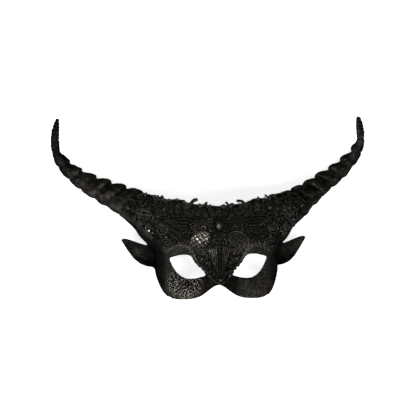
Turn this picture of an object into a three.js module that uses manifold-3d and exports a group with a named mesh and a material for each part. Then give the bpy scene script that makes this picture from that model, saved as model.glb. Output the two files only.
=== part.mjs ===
// A black half mask with ringed horns, faun's ears and a lace collar set with stones, lying on its back.
// Millimetres. The mask is shaped upright, X across the face, Y up it and Z out of it, with its origin
// between the eyes at the front of the nose bridge. The whole mask is then laid on its back.
import * as THREE from "three";
import { mergeVertices } from "three/addons/utils/BufferGeometryUtils.js";
import Module from "manifold-3d";

const wasm = await Module();
wasm.setup();

// Face shell
const FACE_HALF_WIDTH = 75; // at the temples
const WIDEST_DEPTH = 24; // from the nose bridge back to the widest line of the sides
const SQUARENESS = 2.5; // exponent of the front arc, where 2 is an ellipse
const TEMPLE_SWELL = 5.5; // how much wider the face is where the horns grow out of it
const RIM_DEPTH = 60; // from the nose bridge back to the rear rim
const RIM_LEAN = 3; // how far the side walls lean in between the widest line and the rim
const WALL = 2.4; // thickness of the moulding
const FACE_LOW = -52; // the surface runs past the trimmed edges, from here
const FACE_HIGH = 98; // to here
const ROW_STEP = 6; // height of one row of facets
const ARC_STEPS = 13; // facets on half of the front arc
const ARC_EASE = 1.5; // more than 1 packs them closer at the nose
const WALL_STEPS = 2; // facets from the widest line to the rim
const BASE_SET_BACK = 5; // brow and cheeks behind the ridge of the nose
const NOTCH_SHIFT = -1.5; // the notch under the nose is cut a little to the left of the middle
const CUT_REACH = 120; // half length of every cutting prism

// Height of the nose ridge and its half width, up the face
const NOSE_RIDGE = [
  { v: -52, height: 10, width: 13 },
  { v: -22, height: 7.5, width: 11.5 },
  { v: 5, height: 5.6, width: 9.5 },
  { v: 30, height: 4.6, width: 17 },
  { v: 60, height: 2.4, width: 26 },
  { v: 98, height: 0, width: 30 },
];

// Horns: facets round them, the swelling of their rings and the facets along them
const HORN_SIDES = 14;
const RING_PITCH = 19.5;
const RING_COUNT = 7;
const RING_DEPTH = 0.26; // share of the half height, on the upper side
const RING_DEPTH_BELOW = 0.16; // the same on the lower side
const GROOVE_SLANT = 0.42; // share of the half height by which a groove leans towards the tip below
const RING_STEPS = [0, 0.12, 0.34, 0.7]; // facets along one ring, as shares of the pitch
const ROOT_STEPS = [0, 0.3, 0.6, 0.85]; // facets before the first groove, as shares of the way to it
const TIP_STEPS = [0.2, 0.4, 0.6, 0.78, 0.92, 1]; // facets after the last groove, as shares of the way to the tip
const ROOT_SQUARENESS = 4; // exponent of the root's section, which rounds off to 2 at the rings
const ROUND_FROM = 62; // distance along the horn where its section is round

// The two horns are a little unlike: on which side of the face each is and where its rings start
const HORNS = [
  { side: "left", firstGroove: 35 },
  { side: "right", firstGroove: 47 },
];

// Centreline of the horns, from inside the temple to the tip, with half the height and half the depth.
// Left and right are how far the centreline of that horn stands above this one and how much thicker it is.
const HORN_STATIONS = [
  { at: [58, 48, -34], height: 34, depth: 18, left: [1.2, 0], right: [1, 0] },
  { at: [72, 54.5, -38], height: 29.2, depth: 21, left: [1.9, -0.4], right: [1.7, -0.6] },
  { at: [83, 61.6, -40.5], height: 24, depth: 20.5, left: [2.5, 0.2], right: [1.8, -0.6] },
  { at: [93, 69.2, -44.5], height: 20.8, depth: 18.8, left: [2.1, 0.9], right: [-0.1, 0.1] },
  { at: [104.5, 76.2, -51], height: 18.6, depth: 17, left: [1.5, 0.3], right: [-1, 0.1] },
  { at: [116, 83, -56], height: 16.6, depth: 15.5, left: [0.6, -0.4], right: [-0.4, -1.4] },
  { at: [132, 92.3, -64], height: 14.7, depth: 14.2, left: [-0.2, -0.5], right: [0.7, -1.5] },
  { at: [147.5, 101.5, -71], height: 12.9, depth: 12.6, left: [-1.2, -0.6], right: [2, -1.4] },
  { at: [161.5, 110.7, -75.5], height: 11.2, depth: 11, left: [-1.3, -1.1], right: [1.8, -0.5] },
  { at: [170, 118.4, -76.5], height: 9.9, depth: 9.7, left: [-2, -0.7], right: [1.8, -0.1] },
  { at: [177.6, 126.9, -75.5], height: 8.6, depth: 8.5, left: [-2.5, -0.5], right: [1, -0.2] },
  { at: [185, 137.2, -71.5], height: 6.9, depth: 6.9, left: [-2.3, -0.8], right: [1.1, 0.1] },
  { at: [188.3, 147, -67], height: 5.8, depth: 5.8, left: [-2.2, -0.7], right: [0.8, -0.3] },
  { at: [189, 155, -64], height: 5.2, depth: 5.2, left: [-2.1, -0.5], right: [0.9, 0] },
  { at: [188.6, 164, -61], height: 4.6, depth: 4.6, left: [-2, -0.1], right: [1.1, -0.2] },
  { at: [187.6, 173, -59], height: 3.3, depth: 3.3, left: [-1.8, 0], right: [1.7, 0.6] },
  { at: [186, 181, -58], height: 1, depth: 1, left: [-1.8, 0.2], right: [1.5, 0.9] },
];

// Ears: upper edge, lower edge and depth behind the nose bridge, from the root outwards
const EAR_STATIONS = [
  { x: 69, top: 24.6, low: -1.5, z: -31 },
  { x: 76, top: 24.8, low: -0.6, z: -33 },
  { x: 84, top: 26.4, low: 1.4, z: -36.5 },
  { x: 91.5, top: 28.8, low: 4.6, z: -39.5 },
  { x: 98.7, top: 31.5, low: 10.8, z: -42 },
  { x: 105.3, top: 34, low: 20.2, z: -43.5 },
  { x: 110.3, top: 35, low: 28, z: -44.5 },
  { x: 113.3, top: 34.4, low: 33, z: -45 },
];
const EAR_CUP = 7; // how deep the ear is scooped
const EAR_THICKNESS = 3.4;
const EAR_SIDES = 6; // facets across each face of the ear

// Lace and stones
const GAP = 0.3; // clearance between glued pieces
const SLIVER = 0.08; // facets that differ by less than this are one facet
const LACE_THICKNESS = 1.1; // of the flat net
const CORD_THICKNESS = 2; // of the cords laid on the net
const CORD_WIDTH = 2;
const SCALLOP_RADIUS = 2.8;
const SCALLOP_PITCH = 5.6;
const GEM_AT = [0, 51];
const GEM_HALF_WIDTH = 5.2;
const GEM_HALF_HEIGHT = 8;
const GEM_DEPTH = 6;
const GEM_SIDES = 14;
const SETTING_WALL = 1.1;
const SETTING_HEIGHT = 2.6;
const STONE_SIDES = 8;
const STONE_HEIGHT = 1.7;

// Stones of the left half, mirrored to the right: place on the face and radius
const STONES = [
  { x: 12, v: -10.7, radius: 1.7 },
  { x: 20.8, v: 9.8, radius: 1.5 },
  { x: 48.4, v: 73, radius: 1.7 },
  { x: 64, v: 70, radius: 1.9 },
  { x: 63, v: 36.5, radius: 1.7 },
  { x: 65.5, v: 24, radius: 1.5 },
  { x: 73, v: 45, radius: 1.8 },
  { x: 77.8, v: 42.2, radius: 1.8 },
  { x: 82.5, v: 44.5, radius: 1.8 },
  { x: 82, v: 67, radius: 1.8 },
  { x: 89.5, v: 70.5, radius: 1.5 },
  { x: 93.5, v: 56, radius: 1.6 },
  { x: 106, v: 72, radius: 1.6 },
];

// Flat lands inside the temples, where a ribbon is glued
const LAND_AT = [20, -46]; // height and depth of their middle
const LAND_SIZE = 12;
const LAND_THICKNESS = 1.4;

const EYE_SPLAY = 9; // degrees by which the sides of an eye opening turn outwards behind it
const EYE_DEPTH = 6; // depth of its outline behind the nose bridge

const BLACK_MOULDING = new THREE.MeshStandardMaterial({ color: 0x161513, roughness: 0.42 });
const BLACK_LACE = new THREE.MeshStandardMaterial({ color: 0x100f0e, roughness: 0.62 });
const BLACK_METAL = new THREE.MeshStandardMaterial({ color: 0x1b1a19, roughness: 0.35, metalness: 0.6 });
const JET_STONE = new THREE.MeshStandardMaterial({ color: 0x0c0b0d, roughness: 0.08 });
const CRYSTAL = new THREE.MeshStandardMaterial({ color: 0x8c8c93, roughness: 0.08 });

const { lerp, smoothstep, degToRad } = THREE.MathUtils;
const bell = (value, middle, width) => Math.exp(-(((value - middle) / width) ** 2));

// A closed geometry as a solid for cutting and joining
function solidOf(geometry) {
  const bare = new THREE.BufferGeometry().setAttribute("position", geometry.getAttribute("position").clone());
  if (geometry.index) bare.setIndex(geometry.index.clone());
  const merged = mergeVertices(bare, 1e-4);
  const made = new wasm.Manifold(
    new wasm.Mesh({
      numProp: 3,
      vertProperties: new Float32Array(merged.attributes.position.array),
      triVerts: new Uint32Array(merged.index.array),
    }),
  );
  return made;
}

function geometryOf(solid) {
  const { vertProperties, triVerts } = solid.getMesh();
  return new THREE.BufferGeometry()
    .setAttribute("position", new THREE.BufferAttribute(new Float32Array(vertProperties), 3))
    .setIndex(new THREE.BufferAttribute(new Uint32Array(triVerts), 1));
}

const joined = (solids) => wasm.Manifold.union(solids);

// The same solid on the other side of the face
function mirrored(solid) {
  const { vertProperties, triVerts } = solid.getMesh();
  const points = new Float32Array(vertProperties).map((value, i) => (i % 3 ? value : -value));
  const faces = new Uint32Array(triVerts);
  for (let i = 0; i < faces.length; i += 3) [faces[i + 1], faces[i + 2]] = [faces[i + 2], faces[i + 1]];
  return new wasm.Manifold(new wasm.Mesh({ numProp: 3, vertProperties: points, triVerts: faces }));
}

const bothSides = (solid) => joined([solid, mirrored(solid)]);

// A closed solid through rings of points that all have the same count, capped by fans at both ends
function loft(rings) {
  const count = rings[0].length;
  const points = rings.flat();
  const faces = [];
  for (let ring = 0; ring < rings.length - 1; ring++)
    for (let i = 0; i < count; i++) {
      const a = ring * count + i;
      const b = ring * count + ((i + 1) % count);
      faces.push(a, b, b + count, a, b + count, a + count);
    }
  const last = points.length - count;
  const middle = (ring) => ring.reduce((sum, p) => sum.add(p), new THREE.Vector3()).divideScalar(count);
  points.push(middle(rings[0]), middle(rings.at(-1)));
  for (let i = 0; i < count; i++) {
    const next = (i + 1) % count;
    faces.push(points.length - 2, next, i, points.length - 1, last + i, last + next);
  }
  const geometry = new THREE.BufferGeometry().setFromPoints(points).setIndex(faces);
  const solid = solidOf(geometry);
  if (solid.volume() > 0) return solid;
  for (let i = 0; i < faces.length; i += 3) [faces[i + 1], faces[i + 2]] = [faces[i + 2], faces[i + 1]];
  return solidOf(new THREE.BufferGeometry().setFromPoints(points).setIndex(faces));
}

// A prism that runs along Z through the whole mask, over a flat outline
function prism(shape, curveSegments = 6) {
  const geometry = new THREE.ExtrudeGeometry(shape, { depth: 2 * CUT_REACH, bevelEnabled: false, curveSegments });
  geometry.translate(0, 0, -CUT_REACH);
  return solidOf(geometry);
}

const flat = (pairs) => pairs.map(([x, v]) => new THREE.Vector2(x, v));

// A smooth open line through a few points, as that many short steps
const smoothLine = (pairs, steps) => new THREE.SplineCurve(flat(pairs)).getPoints(steps);

// The outline of a cord of even width along a line, with round ends
function cordShape(line, width) {
  const left = [];
  const right = [];
  line.forEach((point, i) => {
    const along = line[Math.min(i + 1, line.length - 1)].clone().sub(line[Math.max(i - 1, 0)]).normalize();
    const out = new THREE.Vector2(-along.y, along.x).multiplyScalar(width / 2);
    left.push(point.clone().add(out));
    right.unshift(point.clone().sub(out));
    const end = i === 0 ? -1 : i === line.length - 1 ? 1 : 0;
    const nose = point.clone().add(along.multiplyScalar((end * width) / 2));
    if (end > 0) left.push(nose);
    if (end < 0) right.push(nose);
  });
  // the round start comes last, between the two sides
  return new THREE.Shape([...left, ...right]);
}

const cord = (pairs, steps = 6, width = CORD_WIDTH) => prism(cordShape(smoothLine(pairs, steps), width));

const oval = (x, v, halfWidth, halfHeight, sides, turn = 0) =>
  new THREE.Shape(
    Array.from({ length: sides }, (_, i) => {
      const angle = (i / sides) * 2 * Math.PI;
      const p = new THREE.Vector2(halfWidth * Math.cos(angle), halfHeight * Math.sin(angle));
      return p.rotateAround(new THREE.Vector2(), degToRad(turn)).add(new THREE.Vector2(x, v));
    }),
  );

// Values of a table of stations at a height between them
function atHeight(table, v, key) {
  const above = Math.max(1, table.findIndex((row) => row.v >= v));
  const [a, b] = [table[above - 1], table[above]];
  return lerp(a[key], b[key], smoothstep(v, a.v, b.v));
}

// What stands out of the plain curve of the face: nose, brow, eye sockets and cheeks
function relief(x, v) {
  const across = Math.abs(x);
  const nose = atHeight(NOSE_RIDGE, v, "height") * bell(x, 0, atHeight(NOSE_RIDGE, v, "width"));
  const socket = -4 * bell(across, 37, 23) * bell(v, 3, 14);
  const brow = 3.4 * bell(across, 36, 27) * bell(v, 29, 9);
  const cheek = 2.2 * bell(across, 37, 20) * bell(v, -26, 10);
  const crown = -0.0032 * Math.max(0, v - 32) ** 2;
  const chin = -0.006 * Math.max(0, -v - 14) ** 2;
  return nose + socket + brow + cheek + crown + chin - BASE_SET_BACK;
}

// Half the width of the face at a height. The temples widen to run out into the horns.
const halfWidthAt = (v) =>
  FACE_HALF_WIDTH + TEMPLE_SWELL * bell(v, 56, 21) - 0.0066 * Math.max(0, -v) ** 2 - 0.003 * Math.max(0, v - 60) ** 2;

// One level section of the face, from its left rim over the front to its right rim. Out is how far it is
// grown past the moulding's front, and the walls run on to the given depth.
function faceSection(v, out, depth) {
  const half = halfWidthAt(v);
  const side = [];
  for (let i = 0; i <= ARC_STEPS; i++) {
    const angle = (i / ARC_STEPS) ** ARC_EASE * (Math.PI / 2);
    const x = half * Math.sin(angle) ** (2 / SQUARENESS);
    const fall = WIDEST_DEPTH * (1 - Math.cos(angle) ** (2 / SQUARENESS));
    side.push(new THREE.Vector2(x, relief(x, v) * Math.cos(angle) ** 0.6 - fall));
  }
  for (let i = 1; i <= WALL_STEPS; i++) {
    const share = i / WALL_STEPS;
    side.push(new THREE.Vector2(half - RIM_LEAN * share, lerp(-WIDEST_DEPTH, -depth, share)));
  }
  const line = [...side.slice(1).reverse().map((p) => new THREE.Vector2(-p.x, p.y)), ...side];
  return line.map((point, i) => {
    const along = line[Math.min(i + 1, line.length - 1)].clone().sub(line[Math.max(i - 1, 0)]).normalize();
    return new THREE.Vector3(point.x - along.y * out, v, point.y + along.x * out);
  });
}

function faceSolid(out, depth = RIM_DEPTH) {
  const rows = [];
  for (let v = FACE_LOW; v <= FACE_HIGH; v += ROW_STEP) rows.push(faceSection(v, out, depth));
  return loft(rows);
}

// The mask seen from the front: brow edge above, cheeks and nose notch below
function frontOutline() {
  const shape = new THREE.Shape();
  shape.moveTo(0, -22.2);
  shape.bezierCurveTo(5, -22.2, 12.5, -30, 20, -34.8);
  shape.bezierCurveTo(26, -38.2, 34, -39.4, 43, -39.4);
  shape.bezierCurveTo(54, -39.4, 61.5, -38.5, 66.8, -29.5);
  shape.bezierCurveTo(69.8, -24, 71.8, -18, 73.8, -8);
  shape.lineTo(95, 0);
  shape.lineTo(95, 84);
  shape.lineTo(72, 83);
  shape.bezierCurveTo(53, 77.5, 25, 70.8, 0, 70.8);
  const right = shape.getPoints(7);
  const left = right.slice(1, -1).reverse().map((p) => new THREE.Vector2(-p.x, p.y));
  const line = [...right, ...left];
  for (const p of line) if (p.y < 0) p.x += NOTCH_SHIFT * bell(p.x, 0, 20);
  return new THREE.Shape(line);
}

// The mask seen from its side, as depth and height: the rim sweeps up and back from the cheeks
function sideOutline() {
  const shape = new THREE.Shape();
  shape.moveTo(40, -60);
  shape.lineTo(-10, -48);
  shape.bezierCurveTo(-16, -34, -24, -24, -34, -14);
  shape.bezierCurveTo(-44, -4, -RIM_DEPTH, -2, -RIM_DEPTH, 16);
  shape.lineTo(-RIM_DEPTH, 44);
  shape.bezierCurveTo(-RIM_DEPTH, 70, -38, 84, -20, 92);
  shape.lineTo(40, 110);
  return shape;
}

function eyeOutline() {
  const shape = new THREE.Shape();
  shape.moveTo(57.8, 11);
  shape.bezierCurveTo(50, 13, 43, 16, 35, 13.6);
  shape.bezierCurveTo(30.5, 12, 31, 7, 26.8, 3.2);
  shape.bezierCurveTo(23, -0.2, 18.6, -3, 16, -9.9);
  shape.bezierCurveTo(22, -11.4, 27, -13.4, 34, -13.5);
  shape.bezierCurveTo(43, -14, 52, -7, 57.8, 11);
  return shape;
}

// The cut through the left eye opens outwards behind the face, so that its edge stays thin to look through
function eyeCut() {
  const cut = new THREE.ExtrudeGeometry(eyeOutline(), { depth: 2 * CUT_REACH, bevelEnabled: false, curveSegments: 5 });
  cut.translate(0, 0, -CUT_REACH);
  const places = cut.getAttribute("position");
  for (let i = 0; i < places.count; i++)
    places.setX(i, places.getX(i) - (places.getZ(i) + EYE_DEPTH) * Math.tan(degToRad(EYE_SPLAY)));
  return solidOf(cut);
}

// Centreline and sizes of the horn of one side, both to be read by the distance along the centreline
function hornLines(side) {
  const shared = new THREE.CatmullRomCurve3(HORN_STATIONS.map(({ at }) => new THREE.Vector3(...at)));
  const places = HORN_STATIONS.map((station, i) => {
    const along = shared.getTangent(i / (HORN_STATIONS.length - 1));
    const up = new THREE.Vector3(-along.y, along.x, 0).normalize();
    return new THREE.Vector3(...station.at).addScaledVector(up, station[side][0]);
  });
  const sizes = HORN_STATIONS.map((station) => {
    const more = station[side][1];
    return new THREE.Vector3(station.height + more, station.depth + more, 0);
  });
  const line = new THREE.CatmullRomCurve3(places);
  return { line, sizes: new THREE.CatmullRomCurve3(sizes), length: line.getLength() };
}

function hornAt({ line, sizes, length }, distance) {
  const t = line.getUtoTmapping(THREE.MathUtils.clamp(distance / length, 0, 1));
  const along = line.getTangent(t);
  const up = new THREE.Vector3(-along.y, along.x, 0).normalize();
  const front = along.clone().cross(up);
  const size = sizes.getPoint(t);
  return { centre: line.getPoint(t), up, front, height: size.x, depth: size.y };
}

// Swelling of a ring at a share of its pitch: a steep lip towards the root, then a slow fall to the tip
function ringProfile(share, peak) {
  if (share < peak) return Math.sin((share / peak) * (Math.PI / 2)) ** 0.7;
  return Math.cos(((share - peak) / (1 - peak)) * (Math.PI / 2)) ** 0.75;
}

// Places along a horn with a ring of facets, each with its share of the ring's pitch and the ring's swelling
function hornFacetRows(firstGroove, length) {
  const rows = ROOT_STEPS.map((step) => ({ distance: step * firstGroove, share: 0, swell: 0 }));
  for (let ring = 0; ring < RING_COUNT; ring++)
    for (const share of RING_STEPS) {
      const distance = firstGroove + (ring + share) * RING_PITCH;
      rows.push({ distance, share, swell: smoothstep(distance, 34, 84) });
    }
  const lastGroove = firstGroove + RING_COUNT * RING_PITCH;
  rows.push({ distance: lastGroove, share: 0, swell: 1 });
  for (const step of TIP_STEPS)
    rows.push({ distance: lerp(lastGroove, length, step), share: 0, swell: 0 });
  return rows;
}

const power = (value, exponent) => Math.sign(value) * Math.abs(value) ** exponent;

// A horn from its root to the given distance, grown by out
function hornSolid({ side, firstGroove }, out = 0, end = Infinity) {
  const lines = hornLines(side);
  const lastGroove = firstGroove + RING_COUNT * RING_PITCH;
  const rings = hornFacetRows(firstGroove, lines.length)
    .filter(({ distance }) => distance < end)
    .map(({ distance, share, swell }) => {
      const slant = GROOVE_SLANT * hornAt(lines, distance).height * smoothstep(distance, 20, 60);
      const fade = 1 - smoothstep(distance, lastGroove - 10, lastGroove + 12);
      const roundness = 2 / lerp(ROOT_SQUARENESS, 2, smoothstep(distance, 0, ROUND_FROM));
      return Array.from({ length: HORN_SIDES }, (_, i) => {
        const angle = (i / HORN_SIDES) * 2 * Math.PI;
        const upper = Math.cos(angle);
        const { centre, up, front, height, depth } = hornAt(lines, distance - slant * fade * upper);
        const depthOfRing = lerp(RING_DEPTH_BELOW, RING_DEPTH, (1 + upper) / 2);
        const ring = 1 + swell * depthOfRing * (ringProfile(share, 0.3 - 0.12 * upper) - 0.55);
        return centre
          .clone()
          .addScaledVector(up, (height * ring + out) * power(upper, roundness))
          .addScaledVector(front, (depth * ring + out) * power(Math.sin(angle), roundness));
      });
    });
  return side === "right" ? loft(rings) : mirrored(loft(rings));
}

// A pointed ear, scooped in front, with a rolled edge
function earSolid() {
  const rings = EAR_STATIONS.map(({ x, top, low, z }) => {
    const middle = (top + low) / 2;
    const half = (top - low) / 2;
    const cup = EAR_CUP * Math.min(1, half / 12);
    const thickness = EAR_THICKNESS * Math.min(1, 0.35 + half / 12);
    const front = [];
    const back = [];
    for (let i = 0; i <= EAR_SIDES; i++) {
      const q = Math.cos((i / EAR_SIDES) * Math.PI);
      const v = middle + half * q;
      const scoop = -cup * (1 - Math.abs(q) ** 2.4);
      front.push(new THREE.Vector3(x, v, z + scoop + thickness * 0.5));
      if (i > 0 && i < EAR_SIDES) back.unshift(new THREE.Vector3(x, v, z + scoop - thickness * 0.5));
    }
    // the two edges are blunt, so each has a point in front and one behind
    const edge = (p) => p.clone().setZ(p.z - thickness);
    return [...front, edge(front.at(-1)), ...back, edge(front[0])];
  });
  return loft(rings);
}

// Flat land on the inner face of the left temple
function landSolid() {
  const inner = FACE_HALF_WIDTH - WALL - LAND_THICKNESS;
  const block = new THREE.BoxGeometry(LAND_THICKNESS + WALL, LAND_SIZE, LAND_SIZE);
  block.translate(inner - RIM_LEAN / 2 + (LAND_THICKNESS + WALL) / 2, LAND_AT[0], LAND_AT[1]);
  return solidOf(block);
}

function shellSolid() {
  const side = new THREE.ExtrudeGeometry(sideOutline(), { depth: 2 * CUT_REACH, bevelEnabled: false, curveSegments: 7 });
  side.translate(0, 0, -CUT_REACH).rotateY(-Math.PI / 2);
  const face = faceSolid(0).intersect(prism(frontOutline())).intersect(solidOf(side));
  const limbs = [...HORNS.map((horn) => hornSolid(horn)), bothSides(earSolid())];
  const cavity = faceSolid(-WALL, RIM_DEPTH + 40);
  const hollowed = joined([face, ...limbs]).subtract(cavity).subtract(bothSides(eyeCut()));
  return hollowed.add(bothSides(landSolid().intersect(faceSolid(-WALL / 2))));
}

// The front of the face and of both horn roots, grown by out: what the lace and the stones lie on
const LACE_END = 78; // along the horn
const skin = (out) => joined([faceSolid(out), ...HORNS.map((horn) => hornSolid(horn, out, LACE_END + 14))]);

// Left half of the net's outline, from the nose along the eye and under the horn to its end, then back
const NET_LOWER_EDGE = [
  [0, -19.6], [5, -18.2], [9, -15.2], [13, -11.4], [15.2, -6.6], [18.4, -2.2], [22.4, 1.6], [25.8, 5.6],
  [28.6, 10.4], [31.2, 15], [34, 20], [38.6, 25], [45, 26.6], [51, 26], [57, 22.6], [63.5, 19.8],
  [69, 24], [71.5, 31.5], [78, 35.5], [85, 40.5], [91, 47], [97.5, 54], [104, 61.5], [109.5, 69],
];
const NET_UPPER_EDGE = [
  [112.5, 75], [107, 80], [99, 83.5], [91, 87.5], [84, 88], [76, 86], [69, 84], [62, 81], [56, 80.6],
  [50, 81.2], [43, 80], [38, 77.2], [33, 75.6], [26, 74.4], [14, 73.6], [0, 71.9],
];

function netOutline() {
  const right = flat([...NET_LOWER_EDGE, ...NET_UPPER_EDGE]);
  const left = right.slice(1, -1).reverse().map((p) => new THREE.Vector2(-p.x, p.y));
  return new THREE.Shape([...right, ...left]);
}

// Round scallops all along the lower edge of the net, from the eye outwards
function scallops() {
  const edge = new THREE.SplineCurve(flat(NET_LOWER_EDGE.slice(3)));
  const count = Math.round(edge.getLength() / SCALLOP_PITCH);
  return edge
    .getSpacedPoints(count)
    .map((p) => prism(oval(p.x, p.y, SCALLOP_RADIUS, SCALLOP_RADIUS, 8, 22.5)));
}

const LEVEL_CORDS = [57.5, 52.8, 48.1]; // heights of the three level cords beside the gem
const SLANT_CORDS = [0, 5]; // the two slanting cords, each this far outside the first
const SLANT_DROP = 0.6; // how far each next slanting cord drops for its distance outwards

const slantLine = (off) => [[43.5 + off, 33 - off * SLANT_DROP], [54 + off, 45 - off * SLANT_DROP],
  [64 + off, 57 - off * SLANT_DROP]];

// Openings of the net between its leaves: place, half width, half height and turn
const EYELETS = [
  [27, 34, 2.4, 6, 30], [34, 66, 2, 5.4, 60], [75.5, 57, 2.4, 5.6, 50], [88, 77, 2, 5, -60], [98, 66, 2, 5, -50],
];

const eyelets = () => joined(EYELETS.map(([x, v, wide, tall, turn]) => prism(oval(x, v, wide, tall, 6, turn))));

// Raised cords of one half: level and slanting cords, a nose rib, a leaf and the twigs above the brow
function cords() {
  const lines = [
    ...LEVEL_CORDS.map((v) => cord([[36, v - 0.4], [61.5, lerp(v, 56, 0.5)]], 1)),
    ...SLANT_CORDS.map((off) => cord(slantLine(off), 2)),
    cord([[6, -13], [9, 10], [10, 33]], 2),
  ];
  const leaf = prism(oval(61.4, 29.4, 4.4, 6, 8, -15));
  return bothSides(joined([...lines, leaf]));
}

// Twigs that stand above the brow, unlike on the two sides: their line and width
const TWIGS = [
  { line: [[-36.5, 72.5], [-32.5, 76.4], [-28.6, 80], [-25.6, 80.6]], width: 3 },
  { line: [[-18.6, 73], [-14, 76.6]], width: 2.4 },
  { line: [[-64, 80], [-65.5, 85]], width: 2 },
  { line: [[15, 72], [10.4, 76.4]], width: 2.2 },
  { line: [[35, 73], [29.6, 78], [24, 78.6]], width: 2.4 },
  { line: [[29.6, 78], [30.4, 74]], width: 2 },
  { line: [[65, 80], [59.5, 84.6]], width: 2.4 },
];

function laceSolid() {
  const bed = skin(GAP);
  const net = prism(netOutline()).add(bothSides(joined(scallops()))).subtract(bothSides(eyelets()));
  const thin = skin(GAP + LACE_THICKNESS).subtract(bed).intersect(net);
  const twigs = TWIGS.map(({ line, width }) => cord(line, line.length - 1, width));
  const thick = skin(GAP + CORD_THICKNESS).subtract(bed).intersect(joined([cords(), ...twigs]));
  const front = new THREE.BoxGeometry(4 * CUT_REACH, 4 * CUT_REACH, CUT_REACH).translate(0, 0, CUT_REACH / 2 - 52);
  return largest(thin.add(thick).intersect(solidOf(front)));
}

// The main body of a solid, without the crumbs that a cut leaves beside it
const largest = (solid) => solid.decompose().reduce((a, b) => (a.volume() > b.volume() ? a : b));

// Turns a piece whose foot is at the origin and whose top points along Z to stand on a place of the skin
function standOn(surface, x, v) {
  const ray = new THREE.Raycaster(new THREE.Vector3(x, v, CUT_REACH), new THREE.Vector3(0, 0, -1));
  const { point, face } = ray.intersectObject(surface)[0];
  const turn = new THREE.Quaternion().setFromUnitVectors(new THREE.Vector3(0, 0, 1), face.normal);
  return new THREE.Matrix4().compose(point, turn, new THREE.Vector3(1, 1, 1));
}

// A faceted stone: flat foot, girdle, sloping crown and table
function stoneGeometry(radius) {
  const ringAt = (share, z, turn) =>
    Array.from({ length: STONE_SIDES }, (_, i) => {
      const angle = ((i + turn) / STONE_SIDES) * 2 * Math.PI;
      return new THREE.Vector3(radius * share * Math.cos(angle), radius * share * Math.sin(angle), z);
    });
  return loft([ringAt(0.86, 0, 0), ringAt(1, 0.5, 0), ringAt(0.6, STONE_HEIGHT, 0.5)]);
}

const ovalRing = (halfWidth, halfHeight, z) =>
  Array.from({ length: GEM_SIDES }, (_, i) => {
    const angle = ((i + 0.5) / GEM_SIDES) * 2 * Math.PI;
    return new THREE.Vector3(halfWidth * Math.cos(angle), halfHeight * Math.sin(angle), z);
  });

// The setting is an oval cup with a claw at each diagonal. Its foot follows the lace.
function settingSolid(seat) {
  const [wide, tall] = [GEM_HALF_WIDTH + SETTING_WALL, GEM_HALF_HEIGHT + SETTING_WALL];
  const cup = loft([
    ovalRing(wide + 0.5, tall + 0.5, seat - 4),
    ovalRing(wide + 0.5, tall + 0.5, seat + 0.8),
    ovalRing(wide, tall, seat + SETTING_HEIGHT),
  ]);
  const claws = [45, 135, 225, 315].map((turn) => {
    const angle = degToRad(turn);
    const claw = new THREE.CylinderGeometry(0.7, 1, SETTING_HEIGHT + 2.4, 6).rotateX(Math.PI / 2);
    claw.translate(wide * 0.93 * Math.cos(angle), tall * 0.93 * Math.sin(angle), seat + SETTING_HEIGHT / 2 + 0.7);
    return solidOf(claw);
  });
  const bed = loft([
    ovalRing(GEM_HALF_WIDTH * 0.5, GEM_HALF_HEIGHT * 0.5, seat + 0.6),
    ovalRing(GEM_HALF_WIDTH + GAP, GEM_HALF_HEIGHT + GAP, seat + SETTING_HEIGHT),
    ovalRing(GEM_HALF_WIDTH + GAP, GEM_HALF_HEIGHT + GAP, seat + SETTING_HEIGHT + 8),
  ]);
  return joined([cup, ...claws]).translate(GEM_AT[0], GEM_AT[1], 0).subtract(bed.translate(GEM_AT[0], GEM_AT[1], 0));
}

function gemSolid(seat) {
  const foot = seat + 0.6 + GAP + 0.2;
  return loft([
    ovalRing(GEM_HALF_WIDTH * 0.46, GEM_HALF_HEIGHT * 0.46, foot),
    ovalRing(GEM_HALF_WIDTH, GEM_HALF_HEIGHT, seat + SETTING_HEIGHT + 0.2),
    ovalRing(GEM_HALF_WIDTH * 0.86, GEM_HALF_HEIGHT * 0.86, seat + SETTING_HEIGHT + 1.3),
    ovalRing(GEM_HALF_WIDTH * 0.52, GEM_HALF_HEIGHT * 0.56, seat + GEM_DEPTH),
  ]).translate(GEM_AT[0], GEM_AT[1], 0);
}

const mask = new THREE.Group();

function addPiece(name, solid, material) {
  const mesh = new THREE.Mesh(geometryOf(solid.simplify(SLIVER)), material);
  mesh.name = name;
  mask.add(mesh);
  return mesh;
}

addPiece("mask_shell", shellSolid(), BLACK_MOULDING);
addPiece("lace_applique", laceSolid(), BLACK_LACE);

const laceTop = new THREE.Mesh(geometryOf(skin(CORD_THICKNESS + 2 * GAP)));
laceTop.geometry = laceTop.geometry.toNonIndexed();
const seat = standOn(laceTop, ...GEM_AT).elements[14];
addPiece("gem_setting", settingSolid(seat).subtract(skin(CORD_THICKNESS + 2 * GAP)), BLACK_METAL);
addPiece("forehead_gem", gemSolid(seat), JET_STONE);

function addStone(name, x, v, radius) {
  const stone = geometryOf(stoneGeometry(radius)).applyMatrix4(standOn(laceTop, x, v));
  addPiece(name, solidOf(stone), CRYSTAL);
}
STONES.forEach(({ x, v, radius }, i) => {
  const number = String(i + 1).padStart(2, "0");
  addStone("rhinestone_right_" + number, x, v, radius);
  addStone("rhinestone_left_" + number, -x, v, radius);
});
addStone("rhinestone_nose", 0, -15.6, 1.5);

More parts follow.
